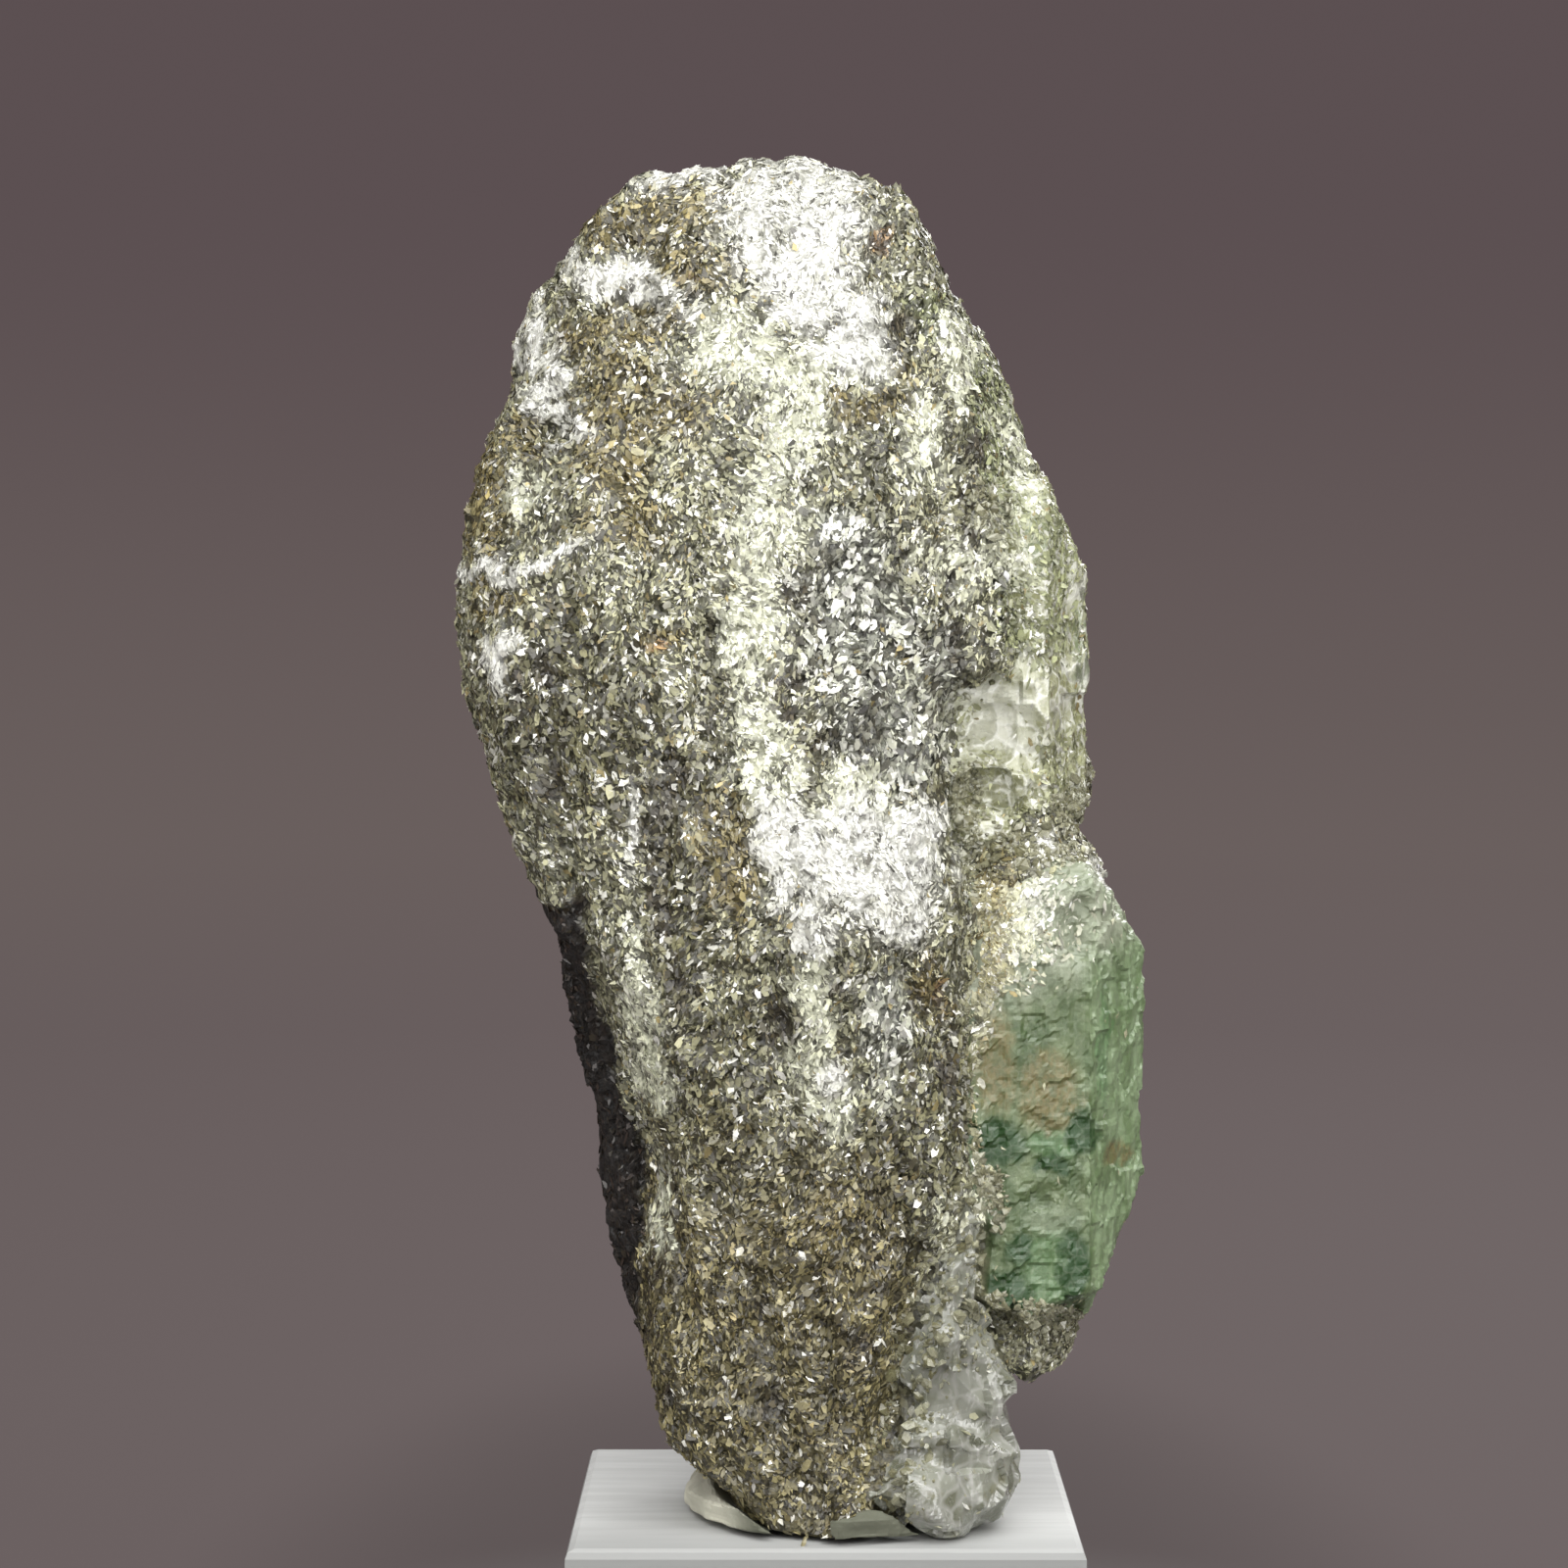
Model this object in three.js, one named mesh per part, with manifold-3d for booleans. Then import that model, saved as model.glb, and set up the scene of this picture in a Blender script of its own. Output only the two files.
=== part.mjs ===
// A hand specimen of emerald in mica schist, held upright by a pad of putty on a small white display block.
// Millimetres, +Z up. The origin is the centre of the block's underside. The front of the specimen faces -Y,
// and +X is to the right of a viewer who looks at it along +Y.
import * as THREE from "three";
import { mergeVertices } from "three/addons/utils/BufferGeometryUtils.js";
import { ConvexGeometry } from "three/addons/geometries/ConvexGeometry.js";
import Module from "manifold-3d";

const wasm = await Module();
wasm.setup();

// The block, a square plate with softened edges.
const BLOCK_WIDTH = 40;
const BLOCK_HEIGHT = 15;
const BLOCK_BEVEL = 0.7;

// Neighbours that touch keep this gap, and the rock's foot keeps a wider one to the putty.
const GAP = 0.3;
const FOOT_GAP = 0.45;

// From here on heights are measured from the top of the block, where the specimen's own group stands.
// Each slab of schist is given by level sections: height, then its reach to the left, right, front and back.
const CORE_SECTIONS = [
  [3.4, -9.0, 8.0, -5.0, 9.0],
  [6.0, -12.8, 9.5, -8.0, 12.0],
  [11.0, -14.7, 10.5, -9.0, 14.0],
  [17.0, -16.8, 12.0, -7.0, 15.5],
  [23.2, -18.7, 13.0, -5.0, 16.5],
  [29.5, -18.8, 14.0, -4.0, 17.0],
  [36.0, -20.2, 15.0, -4.0, 17.5],
  [42.2, -22.0, 16.0, -5.0, 18.0],
  [48.5, -23.3, 18.0, -6.5, 18.0],
  [55.0, -24.7, 20.2, -8.5, 18.0],
  [61.2, -27.5, 20.6, -9.5, 18.0],
  [67.5, -29.6, 20.0, -9.5, 17.5],
  [74.0, -30.1, 20.5, -9.5, 17.0],
  [80.2, -29.2, 19.0, -9.0, 16.0],
  [86.5, -27.4, 16.4, -8.5, 15.0],
  [90.0, -25.4, 15.6, -8.0, 14.5],
  [93.0, -25.6, 14.6, -7.0, 13.5],
  [96.0, -24.6, 12.0, -6.5, 12.5],
  [99.0, -21.6, 10.2, -6.0, 11.5],
  [103.0, -19.6, 8.6, -5.0, 9.5],
  [106.3, -15.8, 6.4, -3.5, 7.0],
  [108.0, -12.4, 3.8, -2.0, 5.0],
  [108.7, -10.0, 1.0, -0.6, 3.2],
];
const MIDDLE_SECTIONS = [
  [46.0, -12.0, 9.0, -15.0, 5.0],
  [52.0, -17.0, 10.5, -16.4, 6.0],
  [58.0, -19.0, 9.4, -15.8, 6.0],
  [64.0, -20.0, 9.8, -15.4, 6.0],
  [67.5, -20.0, 14.4, -15.0, 6.0],
  [73.0, -20.0, 15.6, -14.2, 6.0],
  [80.0, -20.0, 15.0, -13.2, 6.0],
  [87.0, -18.0, 13.4, -11.8, 6.0],
  [94.0, -14.0, 11.2, -9.8, 5.0],
  [100.0, -9.0, 8.6, -7.6, 4.0],
  [103.0, -6.0, 6.0, -5.0, 2.0],
];
const FRONT_SECTIONS = [
  [0.3, -2.6, 4.4, -17.0, -4.0],
  [1.6, -4.6, 5.2, -17.6, 0.0],
  [2.9, -7.2, 5.4, -17.9, 3.0],
  [5.2, -11.6, 5.4, -17.7, 6.0],
  [7.3, -13.1, 5.4, -17.4, 7.0],
  [10.5, -14.2, 6.2, -17.1, 8.0],
  [15.5, -14.6, 8.4, -17.2, 8.0],
  [19.5, -14.6, 10.0, -17.4, 7.0],
  [23.0, -13.4, 11.2, -17.6, 6.0],
  [27.0, -12.9, 11.8, -17.8, 6.0],
  [31.0, -13.6, 11.8, -18.2, 6.0],
  [38.2, -16.4, 11.8, -18.8, 6.0],
  [43.0, -18.6, 12.0, -19.4, 6.0],
  [47.5, -22.0, 12.2, -19.7, 6.0],
  [52.5, -23.8, 11.0, -19.4, 6.0],
  [60.0, -26.4, 9.4, -18.6, 6.0],
  [68.0, -28.6, 8.5, -17.6, 6.0],
  [76.0, -28.7, 8.0, -16.4, 6.0],
  [84.0, -27.2, 7.6, -14.8, 6.0],
  [90.5, -23.8, 8.2, -12.8, 5.0],
  [97.5, -21.2, 8.8, -10.2, 4.0],
  [103.5, -18.8, 7.6, -7.2, 3.0],
  [106.4, -15.2, 5.8, -4.2, 2.0],
  [107.9, -12.0, 3.6, -2.8, 1.0],
  [108.7, -9.6, 0.8, -1.6, 0.6],
];
const SLAB_SQUARENESS = 2.6; // 2 is an ellipse, and more is boxier
const CORE_GRID = [40, 28]; // columns round a slab, and rows up it
const MIDDLE_GRID = [40, 18];
const FRONT_GRID = [56, 46];
const FRONT_CROWD = 0.45; // the front slab's columns crowd this much towards the viewer
const EDGE_RELIEF = 0.45; // the relief is this share as strong sideways
const TREAD = 0.55; // the height of a broken tread
const TREAD_SHARE = 0.75;

// The underside rises from the front of the foot to its back, over the lowest part of the rock.
const FOOT_HEIGHT = 12;
const SOLE_HEIGHT = 4.6; // this near its bottom, the sections of a slab are pressed down into a flat sole
const FOOT_FRONT = -16;
const FOOT_SLOPE = 0.13;

// Flat joints that bound the rock: a point on each face and the way it faces.
const JOINT_FACES = [
  { through: [-20.4, -6, 103], facing: [-0.62, -0.25, 0.74] },
  { through: [9.2, -5, 104], facing: [0.82, -0.2, 0.53] },
  { through: [-4, -12.0, 95], facing: [0.05, -0.86, 0.5] },
  { through: [-27.4, -12, 62], facing: [-0.8, -0.58, -0.05] },
  { through: [-23, -13.9, 80], facing: [-0.6, -0.76, 0.22] },
  { through: [3, -18.4, 60], facing: [0.28, -0.95, 0.12] },
  { through: [-10, -18.6, 45], facing: [-0.2, -0.97, -0.08] },
  { through: [-12, -14.9, 12], facing: [-0.55, -0.8, -0.2] },
  { through: [-22, 12, 66], facing: [-0.66, 0.74, 0.1] },
  { through: [6, 17.2, 62], facing: [0.22, 0.97, 0.06] },
  { through: [-6, 15.6, 26], facing: [-0.1, 0.97, -0.22] },
  { through: [-8, 12.5, 92], facing: [-0.1, 0.86, 0.5] },
  { through: [17, 11, 68], facing: [0.74, 0.66, 0.1] },
  { through: [-17, 9, 36], facing: [-0.8, 0.6, -0.1] },
];

// Plates and knobs that stand out of the schist: place, half sizes, lean in degrees and how many corners.
const PLATES = [
  { at: [15.4, -2.8, 14.4], half: [5.5, 7.0, 3.6], lean: -8, corners: 30 }, // the crust under the emerald
  { at: [15.6, -3.6, 52.2], half: [6.8, 7.6, 4.6], lean: 14, corners: 30 }, // the mica coat over its top
  { at: [19.6, 1.5, 57.8], half: [2.9, 4.6, 4.6], lean: 0, corners: 18 },
  { at: [12.5, 6.0, 30.0], half: [6.5, 7.0, 22.0], lean: 0, corners: 36 }, // the schist behind the emerald
  { at: [12.4, -11.0, 76.0], half: [2.6, 2.8, 10.5], lean: -9, corners: 22 },
  { at: [5.8, -12.6, 78.0], half: [3.4, 2.6, 10.5], lean: -5, corners: 22 },
  { at: [-24.4, 5.0, 84.0], half: [3.8, 6.0, 7.5], lean: 12, corners: 22 },
  { at: [3.0, 16.6, 58.0], half: [7.0, 2.6, 17.0], lean: 4, corners: 26 },
  { at: [-12.0, 15.8, 44.0], half: [5.6, 2.2, 15.0], lean: -7, corners: 22 },
];

// Clefts and pits in it, given the same way.
const CLEFTS = [
  { at: [-12.6, -19.0, 50.8], half: [1.5, 1.6, 6.5], lean: 2, corners: 14 },
  { at: [-11.5, -19.6, 44.6], half: [0.9, 1.4, 6.0], lean: -3, corners: 12 },
  { at: [-6.4, -20.6, 46.6], half: [0.8, 1.5, 3.4], lean: 0, corners: 12 },
  { at: [-3.8, -20.2, 39.0], half: [0.9, 1.4, 3.0], lean: -6, corners: 12 },
  { at: [0.3, -18.8, 65.6], half: [1.3, 2.2, 5.2], lean: 14, corners: 14 },
  { at: [-1.0, -17.6, 72.6], half: [1.9, 1.3, 3.0], lean: 0, corners: 14 },
  { at: [6.2, -18.0, 70.0], half: [0.8, 1.8, 7.0], lean: -4, corners: 12 },
  { at: [3.0, -15.8, 88.0], half: [0.8, 1.6, 5.5], lean: -8, corners: 12 },
  { at: [5.0, -19.2, 26.8], half: [1.3, 1.6, 1.2], lean: 0, corners: 12 },
  { at: [-4.6, -17.8, 18.4], half: [1.6, 1.4, 1.3], lean: 0, corners: 12 },
  { at: [2.6, -18.4, 22.6], half: [1.2, 1.5, 1.1], lean: 0, corners: 12 },
  { at: [-6.5, 18.2, 66.0], half: [1.4, 2.4, 14.0], lean: 5, corners: 16 },
  { at: [-3.5, 16.5, 30.0], half: [1.6, 2.0, 9.0], lean: -4, corners: 14 },
  { at: [-29.5, 2.0, 62.0], half: [2.0, 1.6, 9.0], lean: -6, corners: 14 },
];

// Ledges that are broken out of the top left corner: corners across the front, and how far back each goes.
const LEDGES = [
  { corners: [[-22.6, 94.2], [-10.4, 94.4], [-15.6, 100.6], [-19.4, 104.0], [-25.0, 98.0]], back: -7.6 },
  { corners: [[-24.6, 84.6], [-18.4, 84.4], [-20.6, 92.2], [-26.0, 91.0], [-29.5, 87.0]], back: -9.4 },
  { corners: [[9.2, 66.0], [16.5, 65.6], [13.6, 92.0], [9.4, 95.0], [8.0, 80.0]], back: -12.2 },
];
const LEDGE_FRONT = -30; // in front of the rock
const LEDGE_TAPER = 0.8; // the floor of a ledge is this share of its opening

// The emerald, a six-sided prism that stands nearly upright on the right side.
const EMERALD = { x: 15.7, y: -3.6, radius: 9.85, bottom: 15.6, top: 52.6, lean: 0.4 };
const EMERALD_ENDS = [
  { through: [25.9, -3.6, 44.6], facing: [0.84, -0.06, 0.54] },
  { through: [13, -11.6, 50.0], facing: [-0.1, -0.62, 0.78] },
  { through: [15, 4.4, 47.0], facing: [0.05, 0.75, 0.66] },
  { through: [25.3, -3.6, 25.9], facing: [0.92, -0.1, -0.38] },
  { through: [20.5, -9, 17.4], facing: [0.42, -0.42, -0.8] },
  { through: [10, -11, 19.0], facing: [-0.45, -0.3, -0.84] },
];
// Where chips have broken off it, given like the plates.
const EMERALD_CHIPS = [
  { at: [17.4, -12.9, 26.0], half: [2.4, 1.5, 1.8], lean: 0, corners: 16 },
  { at: [11.6, -13.2, 20.6], half: [2.4, 2.4, 5.8], lean: 8, corners: 16 },
  { at: [14.0, -11.4, 15.8], half: [2.6, 3.2, 1.9], lean: 0, corners: 14 },
  { at: [19.6, -8.6, 15.2], half: [2.8, 3.6, 2.2], lean: -12, corners: 14 },
  { at: [24.0, -8.2, 29.0], half: [1.5, 1.6, 2.0], lean: 0, corners: 14 },
  { at: [11.2, -12.8, 44.6], half: [2.0, 1.5, 4.4], lean: -6, corners: 14 },
  { at: [20.0, -12.2, 47.0], half: [2.8, 1.6, 3.0], lean: 20, corners: 14 },
];
const EMERALD_NOTCH = { at: [25.9, -3.6, 32.6], size: [1.5, 5, 1.9] };

// The pale beryl higher up, a slimmer prism that the schist half covers.
const BERYL = { x: 13.5, y: -2.6, radius: 7.8, bottom: 53.4, top: 82.0, lean: -0.6 };
const BERYL_ENDS = [
  { through: [19.0, -2.6, 79.6], facing: [0.9, -0.1, 0.42] },
  { through: [11, -9, 78.0], facing: [-0.1, -0.9, 0.42] },
  { through: [19.5, -3, 55.0], facing: [0.5, -0.3, -0.8] },
];
// Parting planes step its bare face: the height and height reach of each step, and how deep it goes.
const BERYL_STEPS = [
  { z: 62.6, tall: 3.2, depth: 0.9, x: 11.8, wide: 5.5 },
  { z: 57.2, tall: 3.6, depth: 1.3, x: 12.4, wide: 4.2 },
  { z: 58.8, tall: 4.6, depth: 0.7, x: 17.2, wide: 2.6 },
];
const BERYL_WINDOW = { left: 9.4, bottom: 53.2, top: 66.2 }; // where its front is bare

// Growth steps run up each face of a prism, each this deep.
const FACE_STEPS = [0, 0.28, 0.1, 0.36, 0.16, 0.3];

// Quartz breaks into flat-faced lumps, given like the plates.
const QUARTZ_LUMPS = [
  { at: [8.9, -9.2, 5.3], half: [6.5, 8.2, 5.9], corners: 32 },
  { at: [7.6, -13.2, 3.6], half: [5.4, 5.2, 4.2], corners: 24 },
  { at: [9.7, -8.4, 11.0], half: [5.3, 7.2, 7.0], corners: 28 },
  { at: [9.6, -10.6, 17.6], half: [3.6, 5.6, 7.2], lean: 10, corners: 24 },
  { at: [11.0, -10.6, 23.4], half: [2.2, 3.6, 4.6], lean: 8, corners: 14 },
  { at: [10.6, 1.2, 6.4], half: [4.6, 7.0, 5.6], corners: 24 },
];
const QUARTZ_CLEFTS = [
  { at: [11.6, -15.6, 14.8], half: [0.8, 3.2, 4.0], lean: -6, corners: 12 },
  { at: [6.6, -16.4, 9.6], half: [1.6, 1.6, 1.8], lean: 0, corners: 12 },
];
const QUARTZ_FLOOR = 0.4; // the lowest point of the quartz over the block

// The putty is a hand-pressed pad that the foot sinks into.
const PUTTY = { x: 1.3, y: -5.0, halfWide: 13.2, halfDeep: 14.0, height: 5.4 };
const PUTTY_GRID = [24, 7];
const PUTTY_DENT = 0.07; // how far thumb dents move its rim, as a share of its half size

// Repeatable random numbers from 0 to 1.
function dice(seed) {
  let state = seed;
  return () => {
    state = (Math.imul(state, 1664525) + 1013904223) >>> 0;
    return state / 2 ** 32;
  };
}

// A smooth random field from -1 to 1 that varies over about one unit.
function field(x, y, z) {
  const [i, j, k] = [x, y, z].map(Math.floor);
  const [u, v, w] = [x - i, y - j, z - k].map((t) => t * t * (3 - 2 * t));
  const corner = (a, b, c) => {
    const wave = Math.sin((i + a) * 127.1 + (j + b) * 311.7 + (k + c) * 74.7) * 43758.5453;
    return 2 * (wave - Math.floor(wave)) - 1;
  };
  const mix = THREE.MathUtils.lerp;
  const level = (c) =>
    mix(mix(corner(0, 0, c), corner(1, 0, c), u), mix(corner(0, 1, c), corner(1, 1, c), u), v);
  return mix(level(0), level(1), w);
}

// How far the surface stands out at a point: broad swells, ribs up the cleavage and coarse grains,
// broken into flat treads.
function relief(p) {
  const broad = 0.9 * field(p.x / 12, p.y / 12, p.z / 17);
  const ribs = 0.8 - 1.9 * Math.abs(field(p.x / 5.5 + 0.05 * p.z, p.y / 8, p.z / 19 + 3));
  const grains = 0.5 * field(p.x / 2.6, p.y / 2.6 + 5, p.z / 4);
  const smooth = broad + ribs + grains;
  return THREE.MathUtils.lerp(smooth, Math.round(smooth / TREAD) * TREAD, TREAD_SHARE);
}

// Conversions between three.js geometry and solids that can be joined and cut.
function toSolid(geometry) {
  const bare = new THREE.BufferGeometry();
  bare.setAttribute("position", geometry.getAttribute("position"));
  bare.setIndex(geometry.getIndex());
  const merged = mergeVertices(bare, 1e-4);
  return new wasm.Manifold(
    new wasm.Mesh({
      numProp: 3,
      vertProperties: new Float32Array(merged.getAttribute("position").array),
      triVerts: new Uint32Array(merged.getIndex().array),
    }),
  );
}

function toGeometry(solid) {
  const mesh = solid.getMesh();
  const geometry = new THREE.BufferGeometry();
  geometry.setAttribute("position", new THREE.BufferAttribute(mesh.vertProperties, 3));
  geometry.setIndex(new THREE.BufferAttribute(mesh.triVerts, 1));
  geometry.computeVertexNormals();
  return geometry;
}

const join = (solids) => solids.reduce((whole, next) => whole.add(next));
const largestOf = (solid) =>
  solid.decompose().reduce((big, next) => (next.volume() > big.volume() ? next : big));

// A big box whose one face lies on the plane through a point, on the side that it faces. It cuts flat faces.
const CUTTER = 90;
function beyond({ through, facing }, grow = 0) {
  const outward = new THREE.Vector3(...facing).normalize();
  const middle = new THREE.Vector3(...through).addScaledVector(outward, CUTTER / 2 + grow);
  const turn = new THREE.Quaternion().setFromUnitVectors(new THREE.Vector3(0, 0, 1), outward);
  const box = new THREE.BoxGeometry(CUTTER, CUTTER, CUTTER);
  return toSolid(box.applyQuaternion(turn).translate(...middle.toArray()));
}

const boxAt = ([x, y, z], [wide, deep, tall]) =>
  toSolid(new THREE.BoxGeometry(wide, deep, tall).translate(x, y, z));

// A slab of schist through its level sections, roughened, with its foot raised towards the back.
function slab(sections, [columns, rows], crowd = 0) {
  const heights = sections.map((section) => section[0]);
  const reach = new THREE.CubicInterpolant(
    heights,
    sections.flatMap((section) => section.slice(1)),
    4,
  );
  const bottom = heights[0];
  const top = heights.at(-1);
  const boxy = (t) => Math.sign(t) * Math.abs(t) ** (2 / SLAB_SQUARENESS);
  const geometry = new THREE.SphereGeometry(1, columns, rows).rotateX(Math.PI / 2);
  const points = geometry.getAttribute("position");
  const p = new THREE.Vector3();
  for (let i = 0; i < points.count; i++) {
    p.fromBufferAttribute(points, i);
    const risen = 1 - Math.acos(THREE.MathUtils.clamp(p.z, -1, 1)) / Math.PI;
    const height = bottom + (top - bottom) * risen;
    const [left, right, front, back] = reach.evaluate(height);
    const pressed = bottom + (height - bottom) ** 3 / SOLE_HEIGHT ** 2;
    const isPole = Math.hypot(p.x, p.y) < 1e-4;
    const turn = Math.atan2(p.x, -p.y);
    const crowded = turn - crowd * Math.sin(turn);
    const across = isPole ? 0 : boxy(Math.sin(crowded));
    const along = isPole ? 0 : boxy(-Math.cos(crowded));
    p.set(
      (left + right) / 2 + (across * (right - left)) / 2,
      (front + back) / 2 + (along * (back - front)) / 2,
      Math.min(height, pressed),
    );
    const out = isPole ? 0 : relief(p);
    p.x += out * across * EDGE_RELIEF;
    p.y += out * along;
    const nearFoot = THREE.MathUtils.clamp(1 - p.z / FOOT_HEIGHT, 0, 1);
    p.z += nearFoot * FOOT_SLOPE * (p.y - FOOT_FRONT);
    points.setXYZ(i, p.x, p.y, p.z);
  }
  return toSolid(geometry);
}

// A six-sided prism with growth steps up its faces, its ends cut by planes. One face looks at the viewer.
function prism({ x, y, radius, bottom, top, lean }, ends, grow = 0) {
  const outline = new THREE.Shape();
  const corners = [...Array(7).keys()].map((side) => {
    const turn = THREE.MathUtils.degToRad(60 * side);
    return new THREE.Vector2(Math.cos(turn), Math.sin(turn)).multiplyScalar(radius + grow * 1.16);
  });
  corners.slice(0, 6).forEach((corner, side) => {
    const next = corners[side + 1];
    const inward = corner.clone().add(next).normalize().negate();
    const steps = grow ? [0] : FACE_STEPS;
    steps.forEach((depth, step) => {
      const start = corner.clone().lerp(next, step / steps.length);
      const end = corner.clone().lerp(next, (step + 0.98) / steps.length);
      const share = ((side * 5 + step * 3) % 4) / 4;
      const inset = inward.clone().multiplyScalar(depth * share);
      for (const point of [start.add(inset), end.add(inset)]) {
        if (side === 0 && step === 0 && point === start) outline.moveTo(point.x, point.y);
        else outline.lineTo(point.x, point.y);
      }
    });
  });
  outline.closePath();
  const length = top - bottom + 2 * grow;
  const geometry = new THREE.ExtrudeGeometry(outline, { depth: length, bevelEnabled: false });
  geometry.rotateY(THREE.MathUtils.degToRad(lean)).translate(x, y, bottom - grow);
  return ends.reduce((solid, end) => solid.subtract(beyond(end, grow)), toSolid(geometry));
}

// A shard with flat broken faces: the hull of corners scattered over an ellipsoid. It grows about its middle.
function shard({ at, half, lean = 0, corners }, seed, grow = 0) {
  const roll = dice(seed);
  const upright = new THREE.Vector3(0, 1, 0);
  const points = [...Array(corners).keys()].map((i) => {
    const rise = 1 - (2 * (i + 0.5)) / corners;
    const turn = i * Math.PI * (3 - Math.sqrt(5)) + (roll() - 0.5) * 0.9;
    const round = Math.sqrt(1 - rise * rise);
    const reach = 0.84 + 0.3 * roll();
    return new THREE.Vector3(
      Math.cos(turn) * round * (half[0] * reach + grow),
      Math.sin(turn) * round * (half[1] * reach + grow),
      rise * (half[2] * reach + grow),
    )
      .applyAxisAngle(upright, THREE.MathUtils.degToRad(lean))
      .add(new THREE.Vector3(...at));
  });
  return toSolid(new ConvexGeometry(points));
}

// A ledge narrows from its opening, in front of the rock, to its floor.
function ledge({ corners, back }) {
  const opening = corners.map(([x, z]) => new THREE.Vector3(x, LEDGE_FRONT, z));
  const middle = new THREE.Box3().setFromPoints(opening).getCenter(new THREE.Vector3());
  const floor = opening.map((corner) => middle.clone().lerp(corner, LEDGE_TAPER).setY(back));
  const points = [...opening, ...floor];
  return toSolid(new ConvexGeometry(points));
}

const POCKET_GROWTH = 2.2 * GAP; // a lump's flat faces move out less than its corners do
const shardGroup = (list, seed, grow = 0) => join(list.map((one, i) => shard(one, seed + 101 * i, grow)));

const emeraldSolid = (grow = 0) => {
  const whole = prism(EMERALD, EMERALD_ENDS, grow);
  if (grow) return whole;
  const { at, size } = EMERALD_NOTCH;
  return largestOf(whole.subtract(boxAt(at, size)).subtract(shardGroup(EMERALD_CHIPS, 211)));
};

const berylSolid = (grow = 0) => {
  const front = BERYL.y - (BERYL.radius * Math.sqrt(3)) / 2;
  const steps = BERYL_STEPS.map(({ x, z, wide, tall, depth }) =>
    boxAt([x, front - 2, z], [wide - 2 * grow, 2 * (2 + depth - grow), tall - 2 * grow]),
  );
  return steps.reduce((solid, step) => solid.subtract(step), prism(BERYL, BERYL_ENDS, grow));
};

const quartzSolid = (grow = 0) => {
  const floor = { through: [0, 0, QUARTZ_FLOOR], facing: [0, 0, -1] };
  const bare = grow ? [] : [emeraldSolid(GAP), shardGroup(QUARTZ_CLEFTS, 61)];
  const cuts = [beyond(floor, grow), ...bare];
  return cuts.reduce((solid, cut) => solid.subtract(cut), shardGroup(QUARTZ_LUMPS, 7, grow));
};

function schistSolid() {
  const slabs = join([
    slab(CORE_SECTIONS, CORE_GRID),
    slab(MIDDLE_SECTIONS, MIDDLE_GRID),
    slab(FRONT_SECTIONS, FRONT_GRID, FRONT_CROWD),
  ]);
  const jointed = JOINT_FACES.reduce((solid, face) => solid.subtract(beyond(face)), slabs);
  const window = boxAt(
    [BERYL_WINDOW.left + 10, BERYL.y - 15, (BERYL_WINDOW.bottom + BERYL_WINDOW.top) / 2],
    [20, 18, BERYL_WINDOW.top - BERYL_WINDOW.bottom],
  );
  const pockets = [
    emeraldSolid(GAP),
    berylSolid(GAP),
    quartzSolid(POCKET_GROWTH),
    window,
  ];
  const whole = join([jointed, shardGroup(PLATES, 401)]).subtract(
    join([shardGroup(CLEFTS, 907), ...LEDGES.map(ledge)]),
  );
  return largestOf(pockets.reduce((solid, pocket) => solid.subtract(pocket), whole));
}

// The dent that a foot leaves in the putty: its hull below the putty's top, a gap wider all round.
function footHull(solid) {
  const dipped = toGeometry(solid.trimByPlane([0, 0, -1], -PUTTY.height - GAP)).getAttribute("position");
  const low = [...Array(dipped.count).keys()].map((i) => new THREE.Vector3().fromBufferAttribute(dipped, i));
  const middle = new THREE.Box3().setFromPoints(low).getCenter(new THREE.Vector3());
  const half = new THREE.Box3().setFromPoints(low).getSize(new THREE.Vector3()).multiplyScalar(0.5);
  const grown = half.clone().addScalar(FOOT_GAP).divide(half);
  return toSolid(new ConvexGeometry(low.map((p) => p.sub(middle).multiply(grown).add(middle))));
}

// The putty is a low lumpy dome, cut away where the foot of the rock presses into it.
function puttySolid(feet) {
  const [columns, rows] = PUTTY_GRID;
  const geometry = new THREE.SphereGeometry(1, columns, rows).rotateX(Math.PI / 2);
  const points = geometry.getAttribute("position");
  const p = new THREE.Vector3();
  for (let i = 0; i < points.count; i++) {
    p.fromBufferAttribute(points, i);
    const dent = 1 + PUTTY_DENT * field(p.x * 2.2 + 3, p.y * 2.2, 0.5);
    points.setXYZ(
      i,
      PUTTY.x + PUTTY.halfWide * dent * p.x,
      PUTTY.y + PUTTY.halfDeep * dent * p.y,
      PUTTY.height * Math.sign(p.z) * Math.abs(p.z) ** 0.6,
    );
  }
  const blockTop = { through: [0, 0, GAP], facing: [0, 0, -1] };
  const pressed = join(feet.map(footHull));
  return largestOf(toSolid(geometry).subtract(beyond(blockTop)).subtract(pressed));
}

function blockGeometry() {
  const half = BLOCK_WIDTH / 2 - BLOCK_BEVEL;
  const outline = new THREE.Shape([
    new THREE.Vector2(-half, -half),
    new THREE.Vector2(half, -half),
    new THREE.Vector2(half, half),
    new THREE.Vector2(-half, half),
  ]);
  return new THREE.ExtrudeGeometry(outline, {
    depth: BLOCK_HEIGHT - 2 * BLOCK_BEVEL,
    bevelThickness: BLOCK_BEVEL,
    bevelSize: BLOCK_BEVEL,
    bevelSegments: 2,
  }).translate(0, 0, BLOCK_BEVEL);
}

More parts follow.
